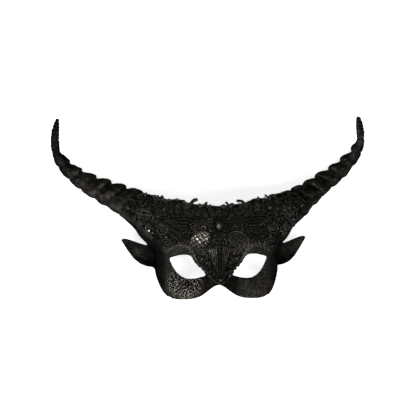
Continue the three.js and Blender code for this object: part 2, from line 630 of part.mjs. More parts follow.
// Lays the mask on its back: it turns about X until the horns and the rim touch the floor together
function layOnBack(group) {
  const places = group.children[0].geometry.getAttribute("position");
  const lowest = (angle, isHorn) => {
    let low = Infinity;
    for (let i = 0; i < places.count; i++)
      if (places.getX(i) ** 2 > 100 ** 2 === isHorn)
        low = Math.min(low, places.getY(i) * Math.sin(angle) + places.getZ(i) * Math.cos(angle));
    return low;
  };
  let [flatter, steeper] = [0, degToRad(40)];
  for (let i = 0; i < 40; i++) {
    const angle = (flatter + steeper) / 2;
    if (lowest(angle, true) < lowest(angle, false)) flatter = angle;
    else steeper = angle;
  }
  group.rotation.x = flatter;
  group.updateMatrixWorld(true);
  const box = new THREE.Box3().setFromObject(group, true);
  group.position.set(-(box.min.x + box.max.x) / 2, -(box.min.y + box.max.y) / 2, -box.min.z);
  return group;
}

export default new THREE.Group().add(layOnBack(mask));
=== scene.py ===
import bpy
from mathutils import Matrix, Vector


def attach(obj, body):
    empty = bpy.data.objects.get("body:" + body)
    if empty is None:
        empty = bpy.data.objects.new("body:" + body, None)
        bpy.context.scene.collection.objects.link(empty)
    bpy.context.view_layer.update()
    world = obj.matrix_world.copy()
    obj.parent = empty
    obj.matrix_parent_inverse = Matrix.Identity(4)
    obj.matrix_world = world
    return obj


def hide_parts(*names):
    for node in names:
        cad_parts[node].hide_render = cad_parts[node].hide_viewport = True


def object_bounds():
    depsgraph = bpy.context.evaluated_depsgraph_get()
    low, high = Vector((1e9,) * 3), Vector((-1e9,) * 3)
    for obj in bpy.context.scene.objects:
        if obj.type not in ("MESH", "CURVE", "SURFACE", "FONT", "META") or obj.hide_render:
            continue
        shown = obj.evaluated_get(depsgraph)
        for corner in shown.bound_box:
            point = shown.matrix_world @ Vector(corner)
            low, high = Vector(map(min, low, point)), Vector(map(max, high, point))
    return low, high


bl_info = {
    "name": "Horned eye mask",
    "version": (1, 0, 0),
    "blender": (4, 5, 0),
    "location": "View3D > Sidebar > Mask",
    "description": "Builds a black horned half mask with a lace collar, a gem and small stones",
    "category": "Add Mesh",
}

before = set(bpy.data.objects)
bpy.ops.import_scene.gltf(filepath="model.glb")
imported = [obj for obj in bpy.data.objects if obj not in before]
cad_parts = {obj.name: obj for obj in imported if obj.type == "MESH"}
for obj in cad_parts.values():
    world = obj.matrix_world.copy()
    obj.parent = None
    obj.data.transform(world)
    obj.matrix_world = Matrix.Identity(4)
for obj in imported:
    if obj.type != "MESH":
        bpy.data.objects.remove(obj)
CAD_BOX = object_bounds()

import math
import random

import bpy
import numpy as np
from bpy.props import FloatProperty, FloatVectorProperty, IntProperty, PointerProperty
from mathutils import Matrix, Vector, noise
from mathutils.bvhtree import BVHTree

MM = 0.001

# The mask is described upright: x across the face, v up it and z out of it, in millimetres, from the
# front of the nose bridge. It is then tilted about x and set down on its back.
TILT = math.radians(15.6213)
SET_DOWN = Vector((1.0896, -77.8931, 54.4260))
TURN = Matrix.Rotation(TILT, 3, "X")

# Centreline of a horn as seen upright, with how far each side's own line stands above it
HORN_LINE = [
    (58, 48, -34, 1.2, 1.0), (72, 54.5, -38, 1.9, 1.7), (83, 61.6, -40.5, 2.5, 1.8),
    (93, 69.2, -44.5, 2.1, -0.1), (104.5, 76.2, -51, 1.5, -1.0), (116, 83, -56, 0.6, -0.4),
    (132, 92.3, -64, -0.2, 0.7), (147.5, 101.5, -71, -1.2, 2.0), (161.5, 110.7, -75.5, -1.3, 1.8),
    (170, 118.4, -76.5, -2.0, 1.8), (177.6, 126.9, -75.5, -2.5, 1.0), (185, 137.2, -71.5, -2.3, 1.1),
    (188.3, 147, -67, -2.2, 0.8), (189, 155, -64, -2.1, 0.9), (188.6, 164, -61, -2.0, 1.1),
    (187.6, 173, -59, -1.8, 1.7), (186, 181, -58, -1.8, 1.5),
]
FIRST_GROOVE = {"left": 35.0, "right": 47.0}
RING_PITCH = 19.5
RING_COUNT = 7
GROOVE_SLANT = 0.42
LIP_HEIGHT = 1.5
GROOVE_DEPTH = 1.3
RIDGE_PITCH = 4.6
FOLD_HEIGHT = 0.5
DENT_HEIGHT = 0.75
GRAIN_ROUND = 9  # the grain of a horn is read at this radius, and drawn out along the horn
GRAIN_ALONG = 0.3
HORN_FROM = 76.0  # beyond this far from the middle the moulding is horn or ear
HORN_ABOVE = 52.0  # and above this height it is horn

# Places of the face that its skin, its gloss and its painted highlights and shade run round
SWIRL_AT = (-35, -31)
RIPPLE_PITCH = 4.2
RIPPLE_HEIGHT = 0.2
CHEEK_LUMPS = 0.12
SKIN_LUMPS = 0.05
CHEEK_MIDDLE = 40
CHEEK_WIDTH = 30
RIGHT_CHEEK = 0.35  # how strong the ripples of the right cheek are beside those of the left
WET_LIT_CHEEK_AT = (-41, -18)
EAR_MIDDLE = (97, 17)
LEFT_FLARE = (-86, 66)
GLOSS_AND_HIGHLIGHT_OVER_WINDOW = (-20, 46)
GLOSS_AND_HIGHLIGHT_BY_NOSE = (-7, 17)
FLARE_EDGE_FROM = (60, 18)  # the lower edge of the flared ends is a straight line from here
FLARE_EDGE_SLOPE = 1.04
EAR_SWELL = 0.75
WINDOW_RISE = 1.85

# Walls that are thinner than a face of the remesh: two corners of a box round each, with x taken
# without its sign, in millimetres of the row frame, and how far their points are moved outwards
BEHIND_EAR = ((66, -60, -1), (92, 6, 16))
BEHIND_EAR_SPREAD = 0.45
INSIDE_CHEEK = ((52, -200, -1), (200, -60, 36))
INSIDE_CHEEK_SPREAD = 0.8

# Half of the net's edge, from the nose along the eye and under the horn, then back along the brow
NET_LOWER_EDGE = [
    (0, -19.6), (5, -18.2), (9, -15.2), (13, -11.4), (15.2, -6.6), (18.4, -2.2), (22.4, 1.6), (25.8, 5.6),
    (28.6, 10.4), (31.2, 15), (34, 20), (38.6, 25), (45, 26.6), (51, 26), (57, 22.6), (63.5, 19.8),
    (69, 24), (71.5, 31.5), (78, 35.5), (85, 40.5), (91, 47), (97.5, 54), (104, 61.5), (109.5, 69),
]
NET_UPPER_EDGE = [
    (112.5, 75), (107, 80), (99, 83.5), (91, 87.5), (84, 88), (76, 86), (69, 84), (62, 81), (56, 80.6),
    (50, 81.2), (43, 80), (38, 77.2), (33, 75.6), (26, 74.4), (14, 73.6), (0, 71.9),
]
WINDOW_AT = (23.4, 32.0)
WINDOW_HALF = (12.6, 8.6)
WINDOW_TURN = math.radians(28)  # its inner end stands higher
LATTICE_PITCH = 4.8
EYELET_RADIUS = 2.6
EYELET_PITCH = 5.6
FILL_GAP = 2.05
FILL_STEP = 0.7
LONGEST_CURL = 40
CURL_BEND = (0.06, 0.3)
CURL_SHAKE = 0.1
SEED_EVERY = 3
FILL_COLUMNS = range(290)  # cells of the grid, which reach past the right half of the net
FILL_ROWS = range(-52, 222)
DOT_HALF = 0.2
STEEPEST = 2.4  # most that a cord's depth changes from point to point
SLOPE = 1.3  # how much a cord may fall from one point to the next past a gap

# Ends of cord that stand free above the brow, each with its width and that of the ball at its end
LOOSE_ENDS = [
    ([(-36.5, 72.5), (-32.5, 76.4), (-28.6, 80), (-26.4, 80.5)], 4.3, 4.8),
    ([(-18.6, 73), (-14, 76.6)], 2.5, 3.2),
    ([(-70.4, 80.6), (-66.8, 85.2)], 1.6, 2.6),
    ([(-64, 80), (-65.5, 85)], 2.2, 2.6),
    ([(15, 72), (10.4, 76.4)], 2.4, 3.2),
    ([(35, 73), (29.6, 78), (24.6, 78.5)], 3.4, 4.0),
    ([(29.6, 78), (30.4, 74)], 2.0, 2.0),
    ([(65, 80), (59.5, 84.6)], 2.5, 3.0),
    ([(62.6, 81.4), (64.2, 84.4), (67, 85.4), (70.6, 85.8)], 2.0, 2.4),
]
EDGE_KNOTS = (-75.4, -71.6, -41, -38.4, -22.4, -19.8, -12.6, -10.2, 4.8, 6.6, 15, 17.4, 36.4, 64, 72)
SCATTERED_KNOTS = 26
KNOTS_REACH = 108

# Leaves of the lace: foot across and up, length, width and the degrees that it points to
BROW_LEAVES = [
    (6, 62, 10, 5, 62), (14, 60.5, 12, 5.6, 48), (24, 61.5, 12, 5.6, 66), (32, 60.4, 11, 5, 30),
    (50, 66, 12, 5.6, 112), (56, 65, 13, 5.6, 62), (62, 62.5, 12, 5, 34), (72, 60, 11, 5.4, 96),
]
FLARE_LEAVES = [
    (76, 57, 11, 5, 210), (98, 76, 9, 5, 48), (84, 53.5, 11, 5.2, 268), (98, 63, 9, 4.6, 318),
    (92, 77.5, 9, 4.8, 100), (78, 74.5, 9, 5, 128), (104, 71, 6.6, 4.4, 20), (91, 55, 9, 4.4, 300),
]

# Stones: half the height of the straight side, then the rise and the narrowing of each step above it.
# The gem's side is in millimetres and its steps are shares of what stands above its side.
GEM_SIDE = 0.35
GEM_STEPS = ((0.5, 0.94), (0.26, 0.72), (0.16, 0.5), (0.06, 0.62))
STONE_SIDE = 0.22
STONE_STEPS = ((0.42, 0.8), (0.26, 0.72), (0.06, 0.86))
BEAD_COUNT = 22
BEADS_BELOW_TOP = 2.3

# Colours of the finishes that have no setting of their own, and of painted shade
EDGE_TINT = (0.1, 0.1, 0.1, 1)  # keeps surfaces that turn away from the eye as dark as the rest
SHADOW = (0.003, 0.003, 0.003, 1)
# painted shade, darkening the left cheek under its painted highlights
PAINTED_CHEEK_SHADE = (0.006, 0.006, 0.005, 1)
NOSE_BLACK = (0.007, 0.006, 0.0045, 1)
METAL = ((0.004, 0.004, 0.004, 1), (0.014, 0.0135, 0.0125, 1))
JET = ((0.03, 0.028, 0.026, 1), (0.052, 0.048, 0.045, 1))
CRYSTAL = ((0.022, 0.021, 0.02, 1), (0.13, 0.127, 0.12, 1))
WHITE = (1, 1, 1, 1)

# The camera, seen from the upright face: degrees it stands to the left and is turned, and millimetres
CAMERA_YAW = 8.2
CAMERA_ROLL = 0.785
CAMERA_DISTANCE = 2500.0
PICTURE_WIDTH = 497.46
CAMERA_OFFSET = (14.15, -70.31)

# Each light: its size in metres, and the degrees that it stands to the left of the camera and above it
LIGHTS = {"key": (0.5, 20, -22), "second": (0.4, -26, -12), "top": (1.2, 6, 52)}
LIGHT_DISTANCE = 1.7


def to_row(x, v, z):
    """A place of the upright mask as a point of the row frame, in metres."""
    return (TURN @ Vector((x, v, z)) + SET_DOWN) * MM


def upright(points):
    """Points of the row frame, in metres, as places of the upright mask, one to a row."""
    return (np.asarray(points) / MM - np.array(SET_DOWN)) @ np.array(TURN)


def pick(piece):
    """Makes a piece the only one that an operator acts on."""
    bpy.ops.object.select_all(action="DESELECT")
    piece.select_set(True)
    bpy.context.view_layer.objects.active = piece


def add_modifier(piece, kind, **settings):
    """Adds a modifier with its settings and applies it."""
    pick(piece)
    bpy.ops.object.modifier_add(type=kind)
    modifier = piece.modifiers[-1]
    for name, value in settings.items():
        setattr(modifier, name, value)
    bpy.ops.object.modifier_apply(modifier=modifier.name)


def edit(piece, *steps):
    """Runs edit-mode operators on all of a piece, each given as (operator, settings)."""
    pick(piece)
    bpy.ops.object.mode_set(mode="EDIT")
    bpy.ops.mesh.select_all(action="SELECT")
    for operator, settings in steps:
        operator(**settings)
    bpy.ops.object.mode_set(mode="OBJECT")


def of_points(mesh, field="co"):
    """The place or, as "normal", the outward direction of each point of a mesh, one to a row."""
    flat = np.empty(len(mesh.vertices) * 3)
    mesh.vertices.foreach_get(field, flat)
    return flat.reshape(-1, 3)


def move_to(mesh, places):
    mesh.vertices.foreach_set("co", np.ascontiguousarray(places, dtype=np.float32).ravel())
    mesh.update()


def merged_copy(node, name):
    """A new piece from a CAD node's mesh, with its loose triangles joined."""
    piece = bpy.data.objects.new(name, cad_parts[node].data.copy())
    bpy.context.scene.collection.objects.link(piece)
    edit(piece, (bpy.ops.mesh.remove_doubles, {"threshold": 1e-6}))
    return piece


def soften(mesh, reach, rounds, ease=0.6):
    """Smooths facets away, while no point moves further than reach from where it was."""
    start = of_points(mesh)
    ends = np.empty(len(mesh.edges) * 2, dtype=np.int64)
    mesh.edges.foreach_get("vertices", ends)
    a, b = ends.reshape(-1, 2).T
    count = len(start)
    around = np.maximum(np.bincount(a, minlength=count) + np.bincount(b, minlength=count), 1)
    now = start.copy()
    for _ in range(rounds):
        sums = [
            np.bincount(a, now[b, axis], count) + np.bincount(b, now[a, axis], count)
            for axis in range(3)
        ]
        now += ease * (np.stack(sums, axis=1) / around[:, None] - now)
        drift = now - start
        far = np.linalg.norm(drift, axis=1)
        now = start + drift * np.minimum(1, reach / np.maximum(far, 1e-12))[:, None]
    move_to(mesh, now)


def added(operator, **settings):
    """The object that an operator adds, with nothing else selected."""
    bpy.ops.object.select_all(action="DESELECT")
    operator(**settings)
    return bpy.context.view_layer.objects.active


def finish_piece(piece, name, material, node):
    """Names a finished piece and hands it to the frame in place of a CAD node."""
    piece.name = piece.data.name = name
    piece.data.materials.clear()
    piece.data.materials.append(material)
    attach(piece, "root")
    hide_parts(node)


def smoothstep(low, high, value):
    share = np.clip((value - low) / (high - low), 0, 1)
    return share * share * (3 - 2 * share)


def bell(value, middle, width):
    return np.exp(-(((value - middle) / width) ** 2))


def unit(rows):
    return rows / np.linalg.norm(rows, axis=1)[:, None]


def curve_between(p0, p1, p2, p3, steps):
    """Points of a smooth curve from p1 up to p2, whose neighbours on it are p0 and p3."""
    slope, curve, turn = p2 - p0, 2 * p0 - 5 * p1 + 4 * p2 - p3, 3 * p1 - p0 - 3 * p2 + p3
    points = []
    for step in range(steps):
        t = step / steps
        points.append(0.5 * (2 * p1 + slope * t + curve * t * t + turn * t**3))
    return points


class HornLine:
    """The line through the middle of one horn, sampled closely, to read places along it and round it."""

    PER_STATION = 14
    AT_ONCE = 4000  # points looked up together

    def __init__(self, side):
        column = 3 if side == "left" else 4
        stations = np.array([row[:3] for row in HORN_LINE], float)
        along = np.gradient(stations, axis=0)
        up = unit(np.stack([-along[:, 1], along[:, 0]], axis=1))
        stations[:, :2] += up * np.array([row[column] for row in HORN_LINE])[:, None]
        if side == "left":
            stations[:, 0] *= -1
        self.side = side
        ends = np.vstack([2 * stations[0] - stations[1], stations, 2 * stations[-1] - stations[-2]])
        spans = [curve_between(*ends[i : i + 4], self.PER_STATION) for i in range(len(stations) - 1)]
        self.points = np.array([*sum(spans, []), stations[-1]])
        steps = np.linalg.norm(np.diff(self.points, axis=0), axis=1)
        self.distance = np.concatenate([[0], np.cumsum(steps)])
        along = unit(np.gradient(self.points, axis=0))
        up = np.stack([-along[:, 1], along[:, 0], np.zeros(len(along))], axis=1)
        self.up = unit(-up if side == "left" else up)
        self.front = np.cross(along, self.up)
        self.front *= np.sign(self.front[:, 2])[:, None]

    def read(self, places):
        """Distance along the horn, angle from its upper side and height over its line, for upright places."""
        nearest = np.empty(len(places), dtype=np.int64)
        for start in range(0, len(places), self.AT_ONCE):
            part = slice(start, start + self.AT_ONCE)
            far = ((places[part, None] - self.points[None]) ** 2).sum(axis=2)
            nearest[part] = far.argmin(axis=1)
        off = places - self.points[nearest]
        upper = (off * self.up[nearest]).sum(axis=1)
        front = (off * self.front[nearest]).sum(axis=1)
        return self.distance[nearest], np.arctan2(front, upper), upper


HORNS = (HornLine("left"), HornLine("right"))


def keep_on(mesh, name, values):
    """Stores a number or a place for each point on the mesh, for its material."""
    kind, field = ("FLOAT", "value") if np.ndim(values) == 1 else ("FLOAT_VECTOR", "vector")
    attribute = mesh.attributes.new(name, kind, "POINT")
    attribute.data.foreach_set(field, np.ascontiguousarray(values, dtype=np.float32).ravel())


def noise_at(places, size, seed):
    """Smooth noise from -1 to 1 at upright places, with features of about the given size."""
    return np.array([noise.noise(Vector(p) / size + Vector((seed, 0, 0))) for p in places])


def horn_relief(places, horn):
    """Height of the ring lips, wrinkles and dents of one horn in millimetres, and places for its grain."""
    distance, angle, upper = horn.read(places)
    first_groove = FIRST_GROOVE[horn.side]
    last_groove = first_groove + RING_COUNT * RING_PITCH
    tip = smoothstep(last_groove - 10, last_groove + 12, distance)
    on_ring = (distance + GROOVE_SLANT * (1 - tip) * upper - first_groove) / RING_PITCH
    share = on_ring - np.floor(on_ring)
    ringed = smoothstep(-0.4, 0.4, on_ring) * (1 - smoothstep(RING_COUNT - 0.3, RING_COUNT + 0.1, on_ring))
    lip = smoothstep(0.03, 0.12, share) * (1 - smoothstep(0.14, 0.6, share))
    groove = 1 - smoothstep(0.0, 0.05, np.minimum(share, 1 - share))
    over = smoothstep(-0.5, 0.8, np.cos(angle))
    front = smoothstep(0.4, 0.95, np.sin(angle))
    back = np.sin(math.pi * np.clip(share * 1.15, 0, 1))
    raised = LIP_HEIGHT * (0.5 * lip * (0.35 + 0.65 * over) + 0.85 * back * over)
    height = ringed * (raised - GROOVE_DEPTH * groove) * (1 - 0.45 * front)
    round_it = [np.cos(angle) * GRAIN_ROUND, np.sin(angle) * GRAIN_ROUND]
    along_it = np.stack([*round_it, distance * GRAIN_ALONG], axis=1)
    folds = noise_at(along_it, 1.9, 3.1)
    dents = noise_at(places, 6.5, 7.7)
    ridges = np.sin(2 * math.pi * (distance + 2.2 * noise_at(places, 6, 1.3)) / RIDGE_PITCH)
    height = height + FOLD_HEIGHT * folds + DENT_HEIGHT * (1 - tip) * dents
    return height + tip * (0.5 + 0.8 * np.maximum(np.cos(angle), 0) + 0.3 * ridges), along_it


def cheek_relief(places, facing):
    """Height of the crackled ripples that run round a point low on the left cheek, in millimetres."""
    x, v = places[:, 0], places[:, 1]
    warp = 3.4 * noise_at(places, 10, 4.4) + 1.5 * noise_at(places, 4.5, 9.2)
    from_swirl = np.hypot(x - SWIRL_AT[0], v - SWIRL_AT[1])
    rings = np.sin(2 * math.pi * (from_swirl + warp) / RIPPLE_PITCH)
    breaks = smoothstep(-0.3, 0.3, noise_at(places, 4.4, 12.6))
    cheek = bell(x, -CHEEK_MIDDLE, CHEEK_WIDTH) + RIGHT_CHEEK * bell(x, CHEEK_MIDDLE, CHEEK_WIDTH)
    cheek *= smoothstep(6, -8, v)
    cheek *= smoothstep(-46, -26, places[:, 2])
    lumps = noise_at(places, 2.9, 2.2)
    height = cheek * (RIPPLE_HEIGHT * rings * breaks + CHEEK_LUMPS * lumps) + SKIN_LUMPS * lumps
    return smoothstep(0.35, 0.8, facing) * height


class Shader:
    """The nodes of one material. Sums on what a node gives add their Math nodes."""

    def __init__(self, name):
        self.material = bpy.data.materials.new(name)
        self.material.use_nodes = True
        self.tree = self.material.node_tree
        self.surface = self.tree.nodes["Principled BSDF"]

    def node(self, kind, settings=None, sockets=None):
        """Adds a node. Its settings are set first, then the values or links of its sockets."""
        node = self.tree.nodes.new(kind)
        for name, value in (settings or {}).items():
            setattr(node, name, value)
        for name, value in (sockets or {}).items():
            self.connect(node.inputs[name], value)
        return Given(self, node)

    def connect(self, socket, value):
        if isinstance(value, Value):
            self.tree.links.new(value.socket, socket)
        else:
            socket.default_value = value

    def surface_takes(self, **values):
        """Sets the shader's own sockets, named in lower case with _ for a space."""
        names = {socket.name.lower().replace(" ", "_"): socket for socket in self.surface.inputs}
        for name, value in values.items():
            self.connect(names[name], value)

    def place(self):
        """The upright place on the mask, in millimetres, from Object coordinates."""
        back = TURN.transposed() @ SET_DOWN
        seen = self.node("ShaderNodeTexCoord")["Object"]
        return self.node(
            "ShaderNodeMapping",
            {"vector_type": "POINT"},
            {
                "Vector": seen,
                "Scale": (1 / MM, 1 / MM, 1 / MM),
                "Rotation": (-TILT, 0, 0),
                "Location": (-back.x, -back.y, -back.z),
            },
        )["Vector"]

    def across_and_up(self, place):
        split = self.node("ShaderNodeSeparateXYZ", None, {"Vector": place})
        return split["X"], split["Y"]

    def kept(self, name, output="Fac"):
        """What keep_on stored on the mesh."""
        return self.node("ShaderNodeAttribute", {"attribute_name": name})[output]

    def noise(self, vector, scale, detail=3.0, roughness=0.55, output=0):
        sockets = {"Vector": vector, "Scale": scale, "Detail": detail, "Roughness": roughness}
        return self.node("ShaderNodeTexNoise", None, sockets)[output]

    def cells(self, vector, scale):
        """How far in from the edge of its cell a place is."""
        settings = {"feature": "DISTANCE_TO_EDGE"}
        return self.node("ShaderNodeTexVoronoi", settings, {"Vector": vector, "Scale": scale})["Distance"]

    def vectors(self, operation, *pair, **named):
        """A sum of vectors."""
        sockets = {**dict(enumerate(pair)), **named}
        return self.node("ShaderNodeVectorMath", {"operation": operation}, sockets)[0]

    def warped(self, vector, scale, reach):
        """The vector pushed about by noise."""
        push = self.noise(vector, scale, 2.0, 0.5, "Color")
        centred = self.vectors("SUBTRACT", push, (0.5, 0.5, 0.5))
        return self.vectors("ADD", vector, self.vectors("SCALE", centred, Scale=reach))

    def ramp(self, value, low, high):
        """0 below low, 1 above high and smooth between."""
        sockets = {"Value": value, "From Min": low, "From Max": high}
        return self.node("ShaderNodeMapRange", {"interpolation_type": "SMOOTHSTEP"}, sockets)["Result"]

    def fade(self, value, low, high):
        """1 below low, 0 above high and smooth between."""
        return 1 - self.ramp(value, low, high)

    def mix(self, share, first, second):
        """A colour from the first to the second."""
        return self.node("ShaderNodeMix", {"data_type": "RGBA"}, {0: share, 6: first, 7: second})[2]

    def bump(self, height, distance, strength=1.0):
        sockets = {"Height": height, "Distance": distance, "Strength": strength}
        return self.node("ShaderNodeBump", None, sockets)["Normal"]


class Given:
    """What a node gives, by the name or the number of its output."""

    def __init__(self, shader, node):
        self.shader, self.node = shader, node

    def __getitem__(self, name):
        return Value(self.shader, self.node.outputs[name])


def adds(operation, turned=False):
    """A method that adds one Math node, for which turned puts the other number first."""

    def method(self, other=0.0):
        first, second = (other, self) if turned else (self, other)
        return self.shader.node("ShaderNodeMath", {"operation": operation}, {0: first, 1: second})["Value"]

    return method


class Value:
    """A number from a node, which takes part in sums."""

    def __init__(self, shader, socket):
        self.shader, self.socket = shader, socket

    __add__ = adds("ADD")
    __radd__ = adds("ADD", turned=True)
    __sub__ = adds("SUBTRACT")
    __rsub__ = adds("SUBTRACT", turned=True)
    __mul__ = adds("MULTIPLY")
    __rmul__ = adds("MULTIPLY", turned=True)
    __truediv__ = adds("DIVIDE")
    __pow__ = adds("POWER")
    size = adds("ABSOLUTE")
    part = adds("FRACT")  # what is left over the whole number
    cosine = adds("COSINE")
    high = adds("MAXIMUM")
    low = adds("MINIMUM")


def lighter(colour, times):
    """A colour made lighter, with its alpha."""
    return (*(min(1.0, c * times) for c in colour), 1)


def away_from(x, v, at, narrow=(1, 1)):
    """Distance from a place of the mask, which grows faster across or up it by narrow."""
    across, rise = x - at[0], v - at[1]
    return (across * across * narrow[0] + rise * rise * narrow[1]) ** 0.5


def below_flare(x, v):
    """How far a place lies below the lower edge of the flared ends of the net."""
    return (x.size() - FLARE_EDGE_FROM[0]) * FLARE_EDGE_SLOPE - v + FLARE_EDGE_FROM[1]


def from_window(aside, v):
    """How far a place is from the middle of the window on its side, along the window and across it."""
    out, rise = aside - WINDOW_AT[0], v - WINDOW_AT[1]
    c, s = math.cos(WINDOW_TURN), math.sin(WINDOW_TURN)
    return out * c - rise * s, out * s + rise * c


def seen_in_window(paint, place, x, v):
    """How far out from the middle of a window beside the gem a place is, and how high its wet folds are."""
    along, over = from_window(x.size(), v)
    rim = along * along * WINDOW_HALF[0] ** -2 + over * over * WINDOW_HALF[1] ** -2
    turn = math.pi / LATTICE_PITCH
    domes = ((along * turn - math.pi / 2).cosine() * (over * turn - math.pi / 2).cosine()).size()
    folds = ((over / LATTICE_PITCH).part() - 0.5) * 3.7 - ((along / LATTICE_PITCH).part() - 0.5) * 6.5
    return rim, domes * 1.2 + folds + paint.noise(place, 0.28, 2.0) * 3.4


def side_shadow(paint, x, v, right):
    """How dark the temples and the horns' tips are: the ears less so, the right side less than the left."""
    aside = x.size()
    temple = paint.ramp(aside, 60, 68) * paint.ramp(below_flare(x, v), -2, 4)
    temple *= 1 - paint.ramp(aside, 96, 116) * paint.ramp(v, 40, 56)
    temple *= 0.8 - right * 0.4
    ear = paint.ramp(aside, 80, 90) * paint.fade(v, 44, 52)
    tips = paint.ramp(aside, 158, 182) * (0.65 - right * 0.35)
    return (temple - ear * 0.35 + tips).high(0.0)


def black_moulding(settings):
    """Black paint over a crackled ground, wet low on the left cheek, with a grain along the horns. Its colour
    carries painted shade and painted highlights on the left cheek, and painted highlights in the left window
    and along the ears.
    """
    paint = Shader("black_moulding")
    place = paint.place()
    x, v = paint.across_and_up(place)
    aside, right = x.size(), paint.ramp(x, -4, 4)
    horn, front = paint.kept("horn_share"), paint.kept("front_share")
    skin = 1 - horn
    plates = paint.ramp(paint.cells(paint.warped(place, 0.14, 5.0), 0.46), 0.02, 0.42)
    grain = paint.noise(place, 0.75, 4.0, 0.62)
    lumps = paint.noise(place, 0.34, 3.0, 0.55)
    wrinkles = paint.noise(paint.kept("horn_grain", "Vector"), 0.5, 4.0, 0.6)
    mottle = paint.ramp(paint.noise(place, 0.13, 3.0, 0.62), 0.36, 0.66)
    # the wet skin: low on the left cheek, in ripples round one point, whose colour carries painted shade and
    # painted highlights
    ripples = (away_from(x, v, SWIRL_AT) * 1.9 + paint.noise(place, 0.12, 2.0) * 20).cosine()
    strokes = ripples * 0.6 + (paint.noise(place, 0.42, 2.0) - 0.5) * 6.2
    cheek = front * paint.fade(away_from(x, v, WET_LIT_CHEEK_AT), 15, 24)
    dust = paint.ramp(paint.noise(place, 0.06, 3.0), 0.4, 0.7) * (1 - cheek)
    dust_and_highlight = lighter(settings.colour, 3.2)
    shade = skin * (grain * 0.5 + plates * 0.3 + dust * 0.35) + horn * (mottle * 0.6 + grain * 0.5)
    tint = paint.mix(paint.ramp(shade, 0.3, 1.1), lighter(settings.colour, 1), dust_and_highlight)
    tint = paint.mix(side_shadow(paint, x, v, right), tint, SHADOW)
    # painted highlights on the crests of the left cheek's ripples, over painted shade on the rest of that
    # cheek
    crest_highlight = paint.ramp(strokes + grain * 0.4, -0.1, 1.1)
    tint = paint.mix(cheek * crest_highlight, paint.mix(cheek * 0.5, tint, PAINTED_CHEEK_SHADE), lighter(settings.colour, 12))
    under_nose = paint.fade(aside, 18, 27) * paint.fade(v, -8, 2)
    tint = paint.mix(under_nose * (1.1 - mottle * 0.6), tint, NOSE_BLACK)
    # the dry right cheek is mottled; a painted highlight runs along the middle of each ear, stronger on the
    # left
    dry = paint.ramp(x, 22, 34) * paint.fade(v, -8, 4) * paint.fade(x, 54, 62)
    tint = paint.mix(dry * paint.ramp(paint.noise(place, 0.36, 2.0), 0.44, 0.6) * 0.7, tint, dust_and_highlight)
    ear_highlight = paint.fade(away_from(aside, v, EAR_MIDDLE, (1, 2)), 2, 11)
    tint = paint.mix(ear_highlight * grain * (1.3 - right * 0.7), tint, dust_and_highlight)
    # the left window shows wet folds through its lattice, and its skin is made lighter as a painted highlight
    rim, folds = seen_in_window(paint, place, x, v)
    lit_left_window = front * paint.fade(rim, 0.9, 1.1) * (1 - right)
    tint = paint.mix(lit_left_window, tint, lighter(settings.colour, 4.8))
    relief = skin * (plates * 0.9 + lumps * 0.9 + grain * 1.4) + cheek * (strokes * 0.75)
    height = relief + horn * (wrinkles * 2.4 + lumps * 1.2 + grain * 1.4)
    height = height * (1 - lit_left_window) + folds * lit_left_window * 0.6
    dry_paint = settings.roughness + grain * 0.2 + dust * 0.16 + horn * 0.08
    roughness = (dry_paint - cheek * 0.12 - lit_left_window * 0.14 - horn * mottle * 0.16).high(0.12)
    bumped = paint.bump(height, settings.crackle * MM)
    paint.surface_takes(base_color=tint, roughness=roughness, normal=bumped)
    paint.surface_takes(metallic=1.0, specular_tint=EDGE_TINT)
    return paint.material


def lace_shadow(paint, x, v):
    """How dark the lower edge of the flared ends and the nose are."""
    aside = x.size()
    low, outer = paint.fade(v, 30, 42), paint.ramp(below_flare(x, v), -9, -2)
    nose = paint.fade(aside, 9, 18) * paint.fade(v, 14, 24)
    return paint.ramp(aside, 60, 70) * (0.35 * low + 0.5 * outer) + nose * 0.3


